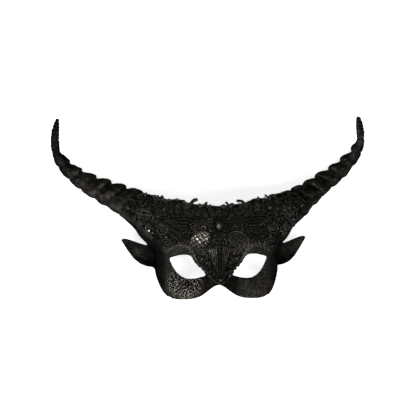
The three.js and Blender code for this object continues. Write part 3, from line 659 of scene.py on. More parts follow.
def black_lace(settings):
    """Lacquered cord lace, glossiest round the left window, where the wet skin shows through. Painted
    highlights make the skin in the left window and the cords over it and beside the nose on the left lighter.
    """
    paint = Shader("black_lace")
    place = paint.place()
    x, v = paint.across_and_up(place)
    cord = paint.kept("cord_share")
    threads = paint.ramp(paint.cells(paint.warped(place, 0.3, 0.8), 0.46), 0.03, 0.42)
    grain = paint.noise(place, 0.6, 4.0, 0.6)
    patches = paint.noise(place, 0.07, 2.0)
    spots = paint.ramp(paint.noise(place, 0.17, 2.0), 0.5, 0.68)
    flare = paint.fade(away_from(x, v, LEFT_FLARE), 12, 26)
    rim, folds = seen_in_window(paint, place, x, v)
    window, off_ring = paint.fade(rim, 0.9, 1.1), paint.ramp(rim, 1.35, 1.6)
    left = paint.fade(x, -4, 4)
    wet_and_lit = window * left
    lit = lighter(settings.colour, 4.6)
    lightness = cord * 0.7 + grain * 0.3 + patches * 0.3
    tint = paint.mix(paint.ramp(lightness, 0.3, 1.2), lighter(settings.colour, 1), lit)
    tint = paint.mix(lace_shadow(paint, x, v), tint, SHADOW)
    # painted highlights: the cords over the left window and beside the nose on the left, and the skin in the
    # left window, are made lighter
    above = paint.fade(away_from(x, v, GLOSS_AND_HIGHLIGHT_OVER_WINDOW, (1, 1.4)), 9, 15)
    beside = paint.fade(away_from(x, v, GLOSS_AND_HIGHLIGHT_BY_NOSE, (3, 1)), 8, 18)
    gloss_and_highlight = (above + beside * spots).low(1.0)
    painted_highlight = ((1 - window) * off_ring * gloss_and_highlight * cord * 0.8 + wet_and_lit * (1 - cord)).low(1.0)
    tint = paint.mix(painted_highlight, tint, lighter(settings.colour, 8.5))
    tint = paint.mix(window * (1 - left) * patches * 0.4, tint, lit)
    matt = (1 - cord) * (1 - window) * 0.3
    rough = settings.roughness + grain * 0.2 + matt - spots * 0.1 - flare * 0.06 - wet_and_lit * 0.16
    height = (threads * (1.7 - cord * 0.9) + grain * 0.9) * (1 - wet_and_lit) + folds * (1 - cord) * window * left
    coat = (cord * 0.12 + gloss_and_highlight * (0.35 + cord * 0.4)) * off_ring + window * (left * 0.5 + 0.1)
    bumped = paint.bump(height, settings.thread_height * MM)
    paint.surface_takes(base_color=tint, roughness=rough.high(0.12), normal=bumped, coat_weight=coat)
    paint.surface_takes(coat_roughness=0.22, metallic=1.0, specular_tint=EDGE_TINT)
    return paint.material


def black_metal():
    """Blackened metal, rubbed a little brighter on its high parts."""
    paint = Shader("black_metal")
    grain = paint.noise(paint.place(), 1.4, 4.0)
    paint.surface_takes(base_color=paint.mix(paint.ramp(grain, 0.35, 0.75), *METAL))
    paint.surface_takes(roughness=0.3 + grain * 0.25, normal=paint.bump(grain, 0.08 * MM, 0.6))
    paint.surface_takes(metallic=1.0, specular_tint=EDGE_TINT)
    return paint.material


def cut_stone(name, colours, roughness, metallic, edge):
    """A polished faceted stone with a cloudy depth."""
    paint = Shader(name)
    place = paint.place()
    cloud = paint.noise(place, 0.55, 2.0)
    paint.surface_takes(base_color=paint.mix(paint.ramp(cloud, 0.3, 0.7), *colours))
    paint.surface_takes(roughness=roughness + paint.noise(place, 1.8, 2.0) * 0.05)
    paint.surface_takes(metallic=metallic, specular_ior_level=0.8, specular_tint=edge)
    return paint.material


class MouldingSettings(bpy.types.PropertyGroup):
    grid: FloatProperty(
        name="Grid", description="Size of the faces of the moulding",
        default=0.00115, min=0.0009, unit="LENGTH",
    )
    reach: FloatProperty(
        name="Smoothing reach", description="How far smoothing may move a point",
        default=0.00045, unit="LENGTH",
    )
    rounds: IntProperty(name="Smoothing rounds", description="How often smoothing is repeated", default=34)
    crackle: FloatProperty(
        name="Crackle", description="Depth of the paint's crackle in millimetres", default=0.5
    )
    colour: FloatVectorProperty(
        name="Colour", description="Black of the paint", subtype="COLOR", default=(0.0205, 0.0193, 0.017)
    )
    roughness: FloatProperty(name="Roughness", description="Least roughness of the paint", default=0.3)


class LaceSettings(bpy.types.PropertyGroup):
    lift: FloatProperty(
        name="Lift", description="Height of a cord's middle over the net in millimetres", default=0.45
    )
    cord: FloatProperty(name="Cord", description="Radius of the cords in millimetres", default=0.92)
    rib: FloatProperty(name="Rib", description="Radius of the fine ribs in millimetres", default=0.7)
    fill: FloatProperty(
        name="Filling", description="Radius of the filling cords in millimetres", default=0.82
    )
    thread_height: FloatProperty(
        name="Threads", description="Height of the threads in millimetres", default=0.3
    )
    colour: FloatVectorProperty(
        name="Colour", description="Black of the lace", subtype="COLOR", default=(0.014, 0.0132, 0.0113)
    )
    roughness: FloatProperty(name="Roughness", description="Least roughness of the lace", default=0.34)


class StoneSettings(bpy.types.PropertyGroup):
    facets: IntProperty(name="Facets", description="Facets round a small stone", default=12)
    gem_facets: IntProperty(name="Gem facets", description="Facets round the gem", default=10)
    bead: FloatProperty(name="Bead", description="Radius of the setting's beads in millimetres", default=0.42)


class StageSettings(bpy.types.PropertyGroup):
    floor: FloatVectorProperty(
        name="Floor", description="Colour of the floor", subtype="COLOR", default=(0.93, 0.93, 0.93)
    )
    glow: FloatProperty(name="Floor glow", description="Light that the floor itself gives", default=0.85)
    key: FloatProperty(
        name="Key light", description="Power of the light from the left", default=20.0, unit="POWER"
    )
    second: FloatProperty(
        name="Second light", description="Power of the light from the right", default=9.0, unit="POWER"
    )
    top: FloatProperty(
        name="Top light", description="Power of the light from beyond the horns", default=1.5, unit="POWER"
    )
    room: FloatProperty(name="Room", description="Strength of the light from all round", default=0.02)


def in_box(places, box):
    """Which places lie between the two corners of a box."""
    return ((places > box[0]) & (places < box[1])).all(axis=1)


def thicken_temples(mesh):
    """Spreads the thin walls at both sides a little, so that the remesh keeps them whole down to the rim."""
    places, out = of_points(mesh), of_points(mesh, "normal")
    folded = np.column_stack([np.abs(places[:, 0]), places[:, 1:]]) / MM
    inward = out[:, 0] * places[:, 0] < 0
    spread = in_box(folded, BEHIND_EAR) * BEHIND_EAR_SPREAD
    spread += (in_box(folded, INSIDE_CHEEK) & inward) * INSIDE_CHEEK_SPREAD
    move_to(mesh, places + out * (spread * MM)[:, None])


class MASK_OT_moulding(bpy.types.Operator):
    """Make the moulding: face, horns and ears in one, with its crackle and wrinkles"""

    bl_idname = "mask.moulding"
    bl_label = "Moulding"

    def execute(self, context):
        settings = context.scene.mask_moulding
        piece = merged_copy("mask_shell", "mask_moulding")
        mesh = piece.data
        thicken_temples(mesh)
        add_modifier(piece, "REMESH", mode="VOXEL", voxel_size=settings.grid)
        soften(mesh, settings.reach, settings.rounds)
        places, out = upright(of_points(mesh)), of_points(mesh, "normal")
        x, v = places[:, 0], places[:, 1]
        facing = out @ np.array(TURN @ Vector((0, 0, 1)))
        relief = cheek_relief(places, facing)
        relief += WINDOW_RISE * (in_window(x, v) & (facing > 0.2))
        relief += EAR_SWELL * smoothstep(76, 86, np.abs(x)) * smoothstep(46, 38, v)
        grain = np.zeros_like(places)
        share = np.zeros(len(places))
        for horn in HORNS:
            of_horn = (x < -HORN_FROM if horn.side == "left" else x > HORN_FROM) & (v > HORN_ABOVE)
            height, along_it = horn_relief(places[of_horn], horn)
            share[of_horn] = smoothstep(HORN_FROM, HORN_FROM + 26, np.abs(x[of_horn]))
            relief[of_horn] += height * share[of_horn]
            grain[of_horn] = along_it
        keep_on(mesh, "horn_grain", grain)
        keep_on(mesh, "horn_share", share)
        keep_on(mesh, "front_share", smoothstep(-0.15, 0.15, facing))
        raised = of_points(mesh) + out * (relief * MM)[:, None]
        move_to(mesh, np.clip(raised, CAD_BOX[0], CAD_BOX[1]))
        pick(piece)
        bpy.ops.object.shade_smooth()
        finish_piece(piece, "mask_moulding", black_moulding(settings), "mask_shell")
        return {"FINISHED"}


def inside_outline(outline, x, v):
    """Which of the places lie inside a closed outline."""
    inside = np.zeros(len(x), dtype=bool)
    for (x0, v0), (x1, v1) in zip(outline, outline[1:] + outline[:1]):
        crosses = (v0 > v) != (v1 > v)
        with np.errstate(divide="ignore", invalid="ignore"):
            at = (x1 - x0) * (v - v0) / (v1 - v0) + x0
        inside ^= crosses & (x < at)
    return inside


def in_window(x, v, grown=0.0):
    """Whether a place lies in one of the two open windows beside the gem."""
    along, over = from_window(abs(x), v)
    along, over = along / (WINDOW_HALF[0] + grown), over / (WINDOW_HALF[1] + grown)
    return along * along + over * over < 1


def net_outline():
    """The net's whole edge, from the nose up the right side and back down the left."""
    right = NET_LOWER_EDGE + NET_UPPER_EDGE
    return right + [(-x, v) for x, v in reversed(right[1:-1])]


class Skin:
    """The front of a piece, looked up from straight in front of the face."""

    def __init__(self, piece):
        self.tree = BVHTree.FromObject(piece, bpy.context.evaluated_depsgraph_get())
        self.inward = TURN @ Vector((0, 0, -1))

    def at(self, x, v):
        """Depth of the piece's front at a place, or None beside the piece."""
        found = self.tree.ray_cast(to_row(x, v, 120), self.inward)[0]
        return upright([found])[0][2] if found else None


class Cover:
    """Which places of one half of the net already lie under a cord, on a fine grid."""

    CELL = 0.4

    def __init__(self):
        self.taken = set()
        self.rings = {}

    def mark(self, x, v):
        self.taken.add((round(abs(x) / self.CELL), round(v / self.CELL)))

    def clear(self, x, v, reach):
        """Whether no marked place lies within reach."""
        if reach not in self.rings:
            span = int(reach / self.CELL) + 1
            self.rings[reach] = [
                (i, j) for i in range(-span, span + 1) for j in range(-span, span + 1)
                if math.hypot(i, j) * self.CELL <= reach
            ]
        i, j = round(abs(x) / self.CELL), round(v / self.CELL)
        return not any((i + a, j + b) in self.taken for a, b in self.rings[reach])


class CordNet:
    """Cords laid on the skin: each is a line across the front of the face with its own radius."""

    SPACING = 1.1
    CAP = ((0.45, 0.89), (0.8, 0.6), (1.0, 0.12))  # how far out and how wide a round end is, in radii

    def __init__(self, skin, lift):
        self.skin, self.lift, self.lines, self.cover = skin, lift, [], Cover()

    def lay(self, line, radius, closed=False, lift=None, ball=None):
        """Lays one cord along a line of places, with a ball at its end where one is given."""
        line = [Vector(p) for p in line]
        if closed:
            line.append(line[0])
        spaced = [line[0]]
        for a, b in zip(line, line[1:]):
            steps = max(1, int((b - a).length / self.SPACING))
            spaced += [a.lerp(b, (i + 1) / steps) for i in range(steps)]
        for a, b in zip(spaced, spaced[1:]):
            for share in (0, 0.33, 0.67):
                self.cover.mark(*a.lerp(b, share))
        self.cover.mark(*spaced[-1])
        found = [self.skin.at(*p) for p in spaced]
        if all(z is None for z in found):
            return
        depths = self.true_depths(found)
        around = zip([depths[0], *depths[:-1]], depths, [*depths[1:], depths[-1]])
        up = self.lift if lift is None else lift
        points = [to_row(*p, (a + 2 * z + b) / 4 + up) for p, (a, z, b) in zip(spaced, around)]
        if closed:
            points.pop()
        self.lines.append((points, radius, closed))
        if ball:
            end = (points[-1] - points[-2]).normalized() * DOT_HALF * MM
            self.lines.append(([points[-1] - end, points[-1] + end], ball, False))

    @staticmethod
    def true_depths(found):
        """The depth at each point, from its neighbours where there is no skin or only one farther behind."""
        top = max((i for i, z in enumerate(found) if z is not None), key=lambda i: found[i])
        kept = {top: found[top]}
        for way in (1, -1):
            last = top
            for i in range(top + way, len(found) if way > 0 else -1, way):
                reach = STEEPEST + SLOPE * (abs(i - last) - 1)
                if found[i] is not None and abs(found[i] - kept[last]) <= reach:
                    kept[i] = found[i]
                    last = i
        places = sorted(kept)
        return np.interp(range(len(found)), places, [kept[i] for i in places])

    def both(self, line, radius, **more):
        """Lays a cord and its mirror image."""
        self.lay(line, radius, **more)
        self.lay([(-x, v) for x, v in line], radius, **more)

    def round_ends(self, points, radius):
        """The points and radii of a cord with a round cap at each end."""
        first = (points[0] - points[1]).normalized() * radius * MM
        last = (points[-1] - points[-2]).normalized() * radius * MM
        before = [(points[0] + first * far, radius * wide) for far, wide in reversed(self.CAP)]
        after = [(points[-1] + last * far, radius * wide) for far, wide in self.CAP]
        return zip(*before, *((p, radius) for p in points), *after)

    def make(self, name):
        """The cords as one mesh piece."""
        curve = bpy.data.curves.new(name, "CURVE")
        curve.dimensions = "3D"
        curve.bevel_depth = MM
        curve.bevel_resolution = 1
        curve.use_fill_caps = True
        for points, radius, closed in self.lines:
            wides = [radius] * len(points)
            if not closed:
                points, wides = self.round_ends(points, radius)
            spline = curve.splines.new("POLY")
            spline.points.add(len(points) - 1)
            spline.use_cyclic_u = closed
            for point, place, wide in zip(spline.points, points, wides):
                point.co = (*place, 1)
                point.radius = wide
        piece = bpy.data.objects.new(name, curve)
        bpy.context.scene.collection.objects.link(piece)
        pick(piece)
        bpy.ops.object.convert(target="MESH")
        return bpy.context.view_layer.objects.active


def bow(start, end, rise, steps=8):
    """Points from start to end that swell to the left of the way by rise."""
    a, b = Vector(start), Vector(end)
    along = b - a
    side = Vector((-along.y, along.x)).normalized() * rise
    return [a.lerp(b, i / steps) + side * 4 * (i / steps) * (1 - i / steps) for i in range(steps + 1)]


def oval(x, v, wide, tall, turn=0.0, steps=14):
    """Points round an oval, turned by some degrees."""
    c, s = math.cos(math.radians(turn)), math.sin(math.radians(turn))
    points = []
    for i in range(steps):
        a = 2 * math.pi * i / steps
        px, pv = wide * math.cos(a), tall * math.sin(a)
        points.append((x + c * px - s * pv, v + s * px + c * pv))
    return points


def smooth_line(points, per_span=5):
    """A smooth line through a few points."""
    ends = [Vector(p) for p in (points[0], *points, points[-1])]
    spans = [curve_between(*ends[i : i + 4], per_span) for i in range(len(points) - 1)]
    return [*sum(spans, []), ends[-1]]


def lay_ring(net, x, v, wide, tall, cord, turn=0.0, steps=14):
    """An oval ring and its mirror image."""
    net.both(oval(x, v, wide, tall, turn, steps), cord, closed=True)


def lay_dot(net, x, v, radius, half=DOT_HALF, **more):
    """A round dot and its mirror image."""
    net.both([(x - half, v), (x + half, v)], radius, **more)


def lay_leaf(net, x, v, length, width, turn, cord):
    """A pointed leaf from its foot at (x, v), with a midrib."""
    a = math.radians(turn)
    foot = Vector((x, v))
    tip = foot + Vector((math.cos(a), math.sin(a))) * length
    for sign in (1, -1):
        net.both(bow(foot, tip, sign * width / 2), cord)
    if width > 4:
        net.both([foot.lerp(tip, 0.12), foot.lerp(tip, 0.82)], cord * 0.85)


def going_out(x, v, way, distance):
    """The place that lies at a distance from (x, v), in a direction in radians."""
    return x + distance * math.cos(way), v + distance * math.sin(way)


def lay_flower(net, x, v, radius, petals, cord, rib):
    """An open flower: a ring in the middle, and petals with a rib through each."""
    lay_ring(net, x, v, radius * 0.3, radius * 0.3, cord, steps=8)
    for i in range(petals):
        way = 2 * math.pi * (i + 0.25) / petals
        petal = going_out(x, v, way, radius * 0.66)
        lay_ring(net, *petal, radius * 0.36, radius * 0.24, cord, math.degrees(way), 10)
        net.both([going_out(x, v, way, radius * share) for share in (0.34, 0.9)], rib)


def lay_brow_fan(net, cord):
    """Level cords over the brow, which draw together towards the temple, and the cords that sweep below."""
    for v in (57.4, 53.2, 49.0, 45.6):
        net.both(smooth_line([(37, v), (46, v + 0.6), (55, v * 0.5 + 28.6), (64, 56.5)]), cord)
    for step in range(3):
        upper = [(66 + step, 55.4 - step * 3.6), (59, 47.6 - step * 3.4)]
        lower = [(48 + step, 40 - step * 3.2), (41 + step * 3.4, 31.4 - step * 2.0)]
        net.both(smooth_line(upper + lower), cord)
    net.both(smooth_line([(42, 72), (39.5, 67), (34, 62.4)]), cord * 1.15)
    lay_leaf(net, 41.2, 70.4, 11, 5, 152, cord)


def lay_eye_rosette(net, cord):
    """The rosette beside the outer eye corner, with its crescent and a drop-shaped leaf."""
    lay_ring(net, 67.5, 45, 5.4, 5.4, cord)
    lay_ring(net, 67.5, 45, 2.2, 2.2, cord, steps=10)
    for wide, tall in ((6.6, 4.8), (3.4, 1.9)):
        lay_ring(net, 62, 29, wide, tall, cord, 24)
    net.both(bow((73.6, 33.6), (80.6, 42.6), -2.6), cord)
    net.both(bow((75.4, 31.8), (83.4, 41.0), -2.2), cord)


def lay_gem_cup(net, cord):
    """The cup and the petals round the gem."""
    for low, half in ((39.6, 4.4), (37.4, 6.6)):
        right = [(half * 0.6, low - 3), (half, low + 2)]
        left = [(-x, v) for x, v in reversed(right)]
        net.lay(smooth_line([*left, (0, low - 4.6), *right]), cord)
    net.both(smooth_line([(7.6, 37.4), (14, 41), (24, 42.6), (34, 41)]), cord * 0.8)
    for turn in (20, 52, 84):
        a = math.radians(turn)
        x, v = 7.4 * math.cos(a), 51 + 10.2 * math.sin(a)
        lay_ring(net, x + 3 * math.cos(a), v + 2.6 * math.sin(a), 3.4, 1.9, cord, turn)


def lay_dotted_field(net, cord, rib):
    """An oval eye, slanting strokes and a field of dots over the window."""
    lay_ring(net, 18.7, 46.4, 3.1, 2.1, cord * 0.85)
    for step in range(4):
        v = 43.6 + step * 2.3
        net.both([(30.4, v - 1.8), (26.6, v + 1.2)], rib * 0.9)
    for row in range(6):
        for column in range(9):
            x, v = 11.6 + column * 2.3 + (row % 2) * 1.15, 50.4 + row * 1.9
            if net.cover.clear(x, v, 1.5):
                lay_dot(net, x, v, rib, 0.15, lift=net.lift + 0.1)


def lay_nose(net, cord, rib):
    """Beads down the nose between two fans of fine ribs, each with a rosette at its foot."""
    for step in range(15):
        v = 29 - step * 2.9
        net.lay([(-DOT_HALF, v), (DOT_HALF, v)], cord * (0.9 if step % 3 else 1.3))
    for step in range(5):
        x, low, high = 3.0 + step * 1.7, -9 + step * 4.4, 24.5 - step * 0.7
        line = [(x, low), (x + 0.4 + step * 0.3, (low + high) / 2), (x + 1.8 + step * 0.9, high)]
        net.both(smooth_line(line), rib * (0.8 + 0.1 * (step % 2)))
    for x, v in ((19.6, 8.0), (9.6, -7.6)):
        lay_ring(net, x, v, 3.0, 2.7, cord * 0.8)
        lay_dot(net, x, v, cord)


def lay_window(net, cord, rib):
    """An oval ring with a lattice across it, through which the glossy skin shows."""
    middle = Vector(WINDOW_AT)
    wide, tall = WINDOW_HALF
    lay_ring(net, *middle, wide + 0.6, tall + 0.6, cord, -math.degrees(WINDOW_TURN), 26)
    long_way = Vector((math.cos(WINDOW_TURN), -math.sin(WINDOW_TURN)))
    cross_way = Vector((-long_way.y, long_way.x))
    for way, aside in ((long_way, cross_way), (cross_way, long_way)):
        for step in range(-3, 4):
            line = [middle + way * i * 0.4 + aside * step * LATTICE_PITCH for i in range(-36, 37)]
            line = [p for p in line if in_window(*p)]
            if len(line) > 4:
                net.both([*line[::3], line[-1]], rib * 0.8)


def lay_scallops(net, cord, rib):
    """Knots along the net's edge beside the eye and round eyelets from there outwards."""
    for p in smooth_line(NET_LOWER_EDGE[2:10], 2):
        net.both([(p.x - 1.6, p.y + 1.3), (p.x - 1.3, p.y + 1.6)], rib)
    edge = smooth_line(NET_LOWER_EDGE[9:], 8)
    gone, due = 0.0, 0.0
    for a, b in zip(edge, edge[1:]):
        length = (b - a).length
        while length > 0 and due <= gone + length:
            p = a.lerp(b, (due - gone) / length)
            lay_ring(net, *p, EYELET_RADIUS, EYELET_RADIUS, cord * 0.85, steps=12)
            lay_ring(net, *p, EYELET_RADIUS * 0.38, EYELET_RADIUS * 0.38, rib, steps=8)
            due += EYELET_PITCH
        gone += length


def lay_knots(net, cord):
    """Solid knots along the upper edge of the net: some at places of their own, the rest scattered."""
    draw = random.Random(4)
    edge = smooth_line(NET_UPPER_EDGE, 8)
    edge += [Vector((-p.x, p.y)) for p in reversed(edge[:-1])]
    scattered = (draw.uniform(-KNOTS_REACH, KNOTS_REACH) for _ in range(SCATTERED_KNOTS))
    for x in sorted([*EDGE_KNOTS, *scattered]):
        v = min(edge, key=lambda p: abs(p.x - x)).y
        lean = draw.uniform(-0.9, 0.9)
        wide = draw.uniform(0.9, 1.6)
        net.lay([(x - 0.5, v - 2), (x, v - 0.6), (x + lean, v + wide * 0.7)], cord * wide, lift=-0.3)


def fill_between(net, radius):
    """Fills what is left of the net with curling cords that keep clear of each other, and small knots."""
    draw = random.Random(11)
    cell = Cover.CELL
    grid = np.array([(i, j) for i in FILL_COLUMNS for j in FILL_ROWS])
    x, v = grid[:, 0] * cell, grid[:, 1] * cell
    kept = inside_outline(net_outline(), x, v) & ~in_window(x, v, 0.6) & (x > 0)
    open_cells = {tuple(place) for place in grid[kept]}
    seeds = sorted((i * cell, j * cell) for i, j in open_cells if not i % SEED_EVERY and not j % SEED_EVERY)
    draw.shuffle(seeds)

    def is_open(x, v):
        return (round(x / cell), round(v / cell)) in open_cells and net.cover.clear(x, v, FILL_GAP)

    def curl(x, v):
        """Walks a curl from a place until it meets another cord."""
        heading, bend = draw.uniform(0, 2 * math.pi), draw.choice((-1, 1)) * draw.uniform(*CURL_BEND)
        line = [(x, v)]
        while len(line) < LONGEST_CURL:
            heading += bend * FILL_STEP + draw.uniform(-CURL_SHAKE, CURL_SHAKE)
            x, v = x + math.cos(heading) * FILL_STEP, v + math.sin(heading) * FILL_STEP
            own = any(math.hypot(x - a, v - b) < FILL_GAP for a, b in line[:-4])
            if own or not is_open(x, v):
                break
            line.append((x, v))
        return line

    for x, v in seeds:
        if not is_open(x, v):
            continue
        line = max((curl(x, v) for _ in range(5)), key=len)
        if len(line) > 3:
            net.both(line, radius)
        else:
            lay_dot(net, x, v, radius * 1.2)


def lay_all_cords(net, settings):
    """Lays every cord of the lace. The filling comes last, because it keeps clear of the rest."""
    cord, rib = settings.cord, settings.rib
    net.lay(net_outline(), cord * 1.05, closed=True)
    lay_brow_fan(net, cord)
    lay_eye_rosette(net, cord)
    lay_gem_cup(net, cord)
    lay_dotted_field(net, cord, rib)
    lay_nose(net, cord, rib)
    lay_leaf(net, 17.4, 15, 12, 5.4, 34, cord)
    lay_window(net, cord, rib)
    for leaf in BROW_LEAVES:
        lay_leaf(net, *leaf, cord)
    lay_flower(net, 88, 66, 9.4, 6, cord, rib)
    for leaf in FLARE_LEAVES:
        lay_leaf(net, *leaf, cord)
    lay_scallops(net, cord, rib)
    for line, wide, ball in LOOSE_ENDS:
        net.lay(smooth_line(line), wide / 2, lift=-0.2, ball=ball / 2)
    lay_knots(net, cord)
    fill_between(net, settings.fill)


class MASK_OT_lace(bpy.types.Operator):
    """Lay the lace collar over the brow: its net first, then its cords and eyelets"""

    bl_idname = "mask.lace"
    bl_label = "Lace collar"

    def execute(self, context):
        settings = context.scene.mask_lace
        net = merged_copy("lace_applique", "lace_collar")
        cords = CordNet(Skin(net), settings.lift)
        lay_all_cords(cords, settings)
        laid = cords.make("lace_cords")
        keep_on(laid.data, "cord_share", np.ones(len(laid.data.vertices)))
        pick(net)
        laid.select_set(True)
        bpy.ops.object.join()
        net = bpy.context.view_layer.objects.active
        pick(net)
        bpy.ops.object.shade_smooth_by_angle(angle=math.radians(50))
        finish_piece(net, "lace_collar", black_lace(settings), "lace_applique")
        return {"FINISHED"}


def flat_seat(node):
    """Centre of the largest flat side of a CAD stone, and the direction from it through the stone."""
    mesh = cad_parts[node].data
    areas = {}
    for face in mesh.polygons:
        key = tuple(round(c, 2) for c in face.normal)
        areas.setdefault(key, []).append(face)
    flat = max(areas.values(), key=lambda faces: sum(face.area for face in faces))
    total = sum(face.area for face in flat)
    centre = sum((face.center * face.area for face in flat), Vector()) / total
    return centre, -flat[0].normal.normalized()


def turn_upright(direction):
    """The turn that takes +Z to a direction."""
    return direction.to_track_quat("Z", "Y").to_matrix().to_4x4()


def faces_where(piece, test):
    """Leaves exactly the faces selected that pass the test on their centre and normal."""
    for face in piece.data.polygons:
        face.select = bool(test(face.center, face.normal))
    for edge in piece.data.edges:
        edge.select = False
    for vertex in piece.data.vertices:
        vertex.select = False


def shape_top(piece, steps, turn):
    """Extrudes the top face of a piece again and again, each time by a rise and a narrowing, and turns it."""
    for rise, narrow in steps:
        top = max(face.center.z for face in piece.data.polygons)
        faces_where(piece, lambda centre, normal: normal.z > 0.9 and centre.z > top - 1e-6)
        pick(piece)
        bpy.ops.object.mode_set(mode="EDIT")
        bpy.ops.mesh.select_mode(type="FACE")
        bpy.ops.mesh.extrude_region_move(TRANSFORM_OT_translate={"value": (0, 0, rise)})
        bpy.ops.transform.resize(value=(narrow, narrow, 1))
        bpy.ops.transform.rotate(value=turn, orient_axis="Z", center_override=(0, 0, 0))
        bpy.ops.object.mode_set(mode="OBJECT")


def cut_gem(name, facets, side, steps):
    """A faceted stone of radius 1 on the origin: a cylinder drawn in, step by step, to its table."""
    piece = added(bpy.ops.mesh.primitive_cylinder_add, vertices=facets, radius=1.0, depth=side * 2)
    piece.name = name
    shape_top(piece, steps, math.pi / facets)
    edit(piece, (bpy.ops.mesh.quads_convert_to_tris, {}), (bpy.ops.mesh.normals_make_consistent, {}))
    return piece


def middle_and_half(places):
    """The middle of upright places and half their size, each way."""
    low, high = places.min(axis=0), places.max(axis=0)
    return (low + high) / 2, (high - low) / 2


class MASK_OT_gem(bpy.types.Operator):
    """Cut the oval gem on the forehead"""

    bl_idname = "mask.gem"
    bl_label = "Gem"

    def execute(self, context):
        facets = context.scene.mask_stones.gem_facets
        middle, half = middle_and_half(upright(of_points(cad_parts["forehead_gem"].data)))
        rise = 2 * (half[2] - GEM_SIDE)
        steps = [(rise * share, narrow) for share, narrow in GEM_STEPS]
        piece = cut_gem("forehead_gem_cut", facets, GEM_SIDE, steps)
        points = of_points(piece.data) * (half[0], half[1], 1)
        points += (middle[0], middle[1], middle[2] - half[2] + GEM_SIDE)
        move_to(piece.data, [to_row(*p) for p in points])
        jet = cut_stone("black_gem", JET, 0.34, 1.0, EDGE_TINT)
        finish_piece(piece, "forehead_gem_cut", jet, "forehead_gem")
        return {"FINISHED"}


class MASK_OT_gem_setting(bpy.types.Operator):
    """Make the gem's blackened setting: an oval cup with claws and a row of beads"""

    bl_idname = "mask.gem_setting"
    bl_label = "Gem setting"

    def execute(self, context):
        settings = context.scene.mask_stones
        piece = merged_copy("gem_setting", "gem_claw_setting")
        middle, half = middle_and_half(upright(of_points(piece.data)))
        add_modifier(piece, "BEVEL", width=0.25 * MM, segments=2, limit_method="ANGLE")
        beads = []
        height = middle[2] + half[2] - BEADS_BELOW_TOP
        for x, v in oval(middle[0], middle[1], *(half[:2] - settings.bead), steps=BEAD_COUNT):
            size = {"segments": 8, "ring_count": 6, "radius": settings.bead * MM}
            beads.append(added(bpy.ops.mesh.primitive_uv_sphere_add, location=to_row(x, v, height), **size))
            bpy.ops.object.transform_apply()
        pick(piece)
        for bead in beads:
            bead.select_set(True)
        bpy.ops.object.join()
        bpy.ops.object.shade_smooth_by_angle(angle=math.radians(35))
        finish_piece(piece, "gem_claw_setting", black_metal(), "gem_setting")
        return {"FINISHED"}


class MASK_OT_small_stones(bpy.types.Operator):
    """Cut one small stone and set a copy of it in each place along the lace"""

    bl_idname = "mask.small_stones"
    bl_label = "Small stones"

    def execute(self, context):
        model = cut_gem("stone_model", context.scene.mask_stones.facets, STONE_SIDE, STONE_STEPS)
        model_height = 2 * STONE_SIDE + sum(rise for rise, _ in STONE_STEPS)
        glass = cut_stone("cut_crystal", CRYSTAL, 0.17, 0.6, WHITE)
        for node in sorted(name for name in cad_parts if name.startswith("rhinestone")):
            centre, out = flat_seat(node)
            reach = [vertex.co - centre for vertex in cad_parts[node].data.vertices]
            height = max(p.dot(out) for p in reach)
            radius = max((p - out * p.dot(out)).length for p in reach)
            stone = model.copy()
            stone.data = model.data.copy()
            bpy.context.scene.collection.objects.link(stone)
            scale = Matrix.Diagonal((radius, radius, height / model_height, 1))
            rise = Matrix.Translation((0, 0, STONE_SIDE))
            stone.data.transform(Matrix.Translation(centre) @ turn_upright(out) @ scale @ rise)
            finish_piece(stone, node + "_cut", glass, node)
        bpy.data.objects.remove(model)
        return {"FINISHED"}


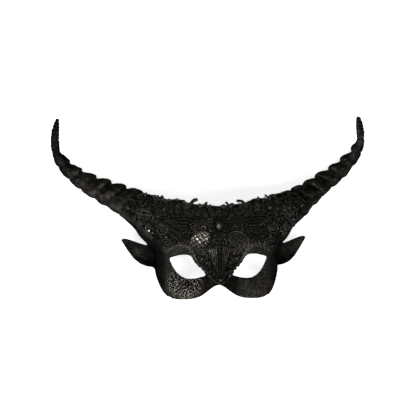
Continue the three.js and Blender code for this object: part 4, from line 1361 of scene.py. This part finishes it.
class MASK_OT_stage(bpy.types.Operator):
    """Set the floor, the lights and the camera that looks down on the mask"""

    bl_idname = "mask.stage"
    bl_label = "Stage"

    def execute(self, context):
        settings = context.scene.mask_stage
        scene = context.scene
        floor = added(bpy.ops.mesh.primitive_plane_add, size=8, location=(0, 0, CAD_BOX[0][2]))
        floor.name = "floor"
        paper = Shader("floor_paper")
        grain = paper.noise(paper.node("ShaderNodeTexCoord")["Object"], 40.0, 3.0)
        tint = paper.mix(grain, lighter(settings.floor, 1), lighter(settings.floor, 1.012))
        paper.surface_takes(base_color=tint, roughness=0.9, specular_ior_level=0.0)
        paper.surface_takes(emission_color=WHITE, emission_strength=settings.glow)
        floor.data.materials.append(paper.material)
        for name, stand in LIGHTS.items():
            self.light(name, getattr(settings, name), *stand)
        world = bpy.data.worlds.new("room")
        world.use_nodes = True
        background = world.node_tree.nodes["Background"].inputs
        background["Color"].default_value = WHITE
        background["Strength"].default_value = settings.room
        scene.world = world
        scene.view_settings.view_transform = "Standard"
        self.camera(scene)
        return {"FINISHED"}

    @staticmethod
    def light(name, power, size, left, above):
        """A square light aimed at the mask, some degrees to the left of the camera and above it."""
        right, up, back = camera_axes()
        turn = Matrix.Rotation(math.radians(-left), 3, up) @ Matrix.Rotation(math.radians(-above), 3, right)
        direction = turn @ back
        light = added(bpy.ops.object.light_add, type="AREA", radius=size, location=direction * LIGHT_DISTANCE)
        light.name = light.data.name = name
        light.data.energy = power
        light.data.size = size
        light.rotation_euler = direction.to_track_quat("Z", "Y").to_euler()

    @staticmethod
    def camera(scene):
        """The camera stands square to the upright face, a little to the viewer's left and turned."""
        right, up, back = camera_axes()
        target = Vector(to_row(0, 0, 0)) - (right * CAMERA_OFFSET[0] + up * CAMERA_OFFSET[1]) * MM
        camera = added(bpy.ops.object.camera_add, location=target + back * CAMERA_DISTANCE * MM)
        camera.rotation_euler = Matrix((right, up, back)).transposed().to_euler()
        camera.data.lens = camera.data.sensor_width * CAMERA_DISTANCE / PICTURE_WIDTH
        camera.data.clip_end = 20
        scene.camera = camera


def camera_axes():
    """Right, up and back of the camera in the row frame."""
    yaw, roll = math.radians(CAMERA_YAW), math.radians(CAMERA_ROLL)
    back = Vector((-math.sin(yaw), 0, math.cos(yaw)))
    level = Vector((math.cos(yaw), 0, math.sin(yaw)))
    rise = back.cross(level)
    right = level * math.cos(roll) - rise * math.sin(roll)
    up = rise * math.cos(roll) + level * math.sin(roll)
    return TURN @ right, TURN @ up, TURN @ back


class MASK_PT_panel(bpy.types.Panel):
    bl_idname = "MASK_PT_panel"
    bl_label = "Horned eye mask"
    bl_space_type = "VIEW_3D"
    bl_region_type = "UI"
    bl_category = "Mask"

    def draw(self, context):
        for operator, settings in STEPS:
            box = self.layout.box()
            box.operator(operator.bl_idname)
            group = getattr(context.scene, settings)
            for name in type(group).__annotations__:
                box.prop(group, name)


SETTINGS = {
    "mask_moulding": MouldingSettings,
    "mask_lace": LaceSettings,
    "mask_stones": StoneSettings,
    "mask_stage": StageSettings,
}
STEPS = (
    (MASK_OT_stage, "mask_stage"),
    (MASK_OT_moulding, "mask_moulding"),
    (MASK_OT_lace, "mask_lace"),
    (MASK_OT_gem_setting, "mask_stones"),
    (MASK_OT_gem, "mask_stones"),
    (MASK_OT_small_stones, "mask_stones"),
)
CLASSES = (*SETTINGS.values(), *(operator for operator, _ in STEPS), MASK_PT_panel)


def register():
    for item in CLASSES:
        bpy.utils.register_class(item)
    for name, group in SETTINGS.items():
        setattr(bpy.types.Scene, name, PointerProperty(type=group))


def unregister():
    for name in SETTINGS:
        delattr(bpy.types.Scene, name)
    for item in reversed(CLASSES):
        bpy.utils.unregister_class(item)


def main():
    register()
    for operator, _ in STEPS:
        group, name = operator.bl_idname.split(".")
        getattr(getattr(bpy.ops, group), name)()


if __name__ == "__main__":
    main()
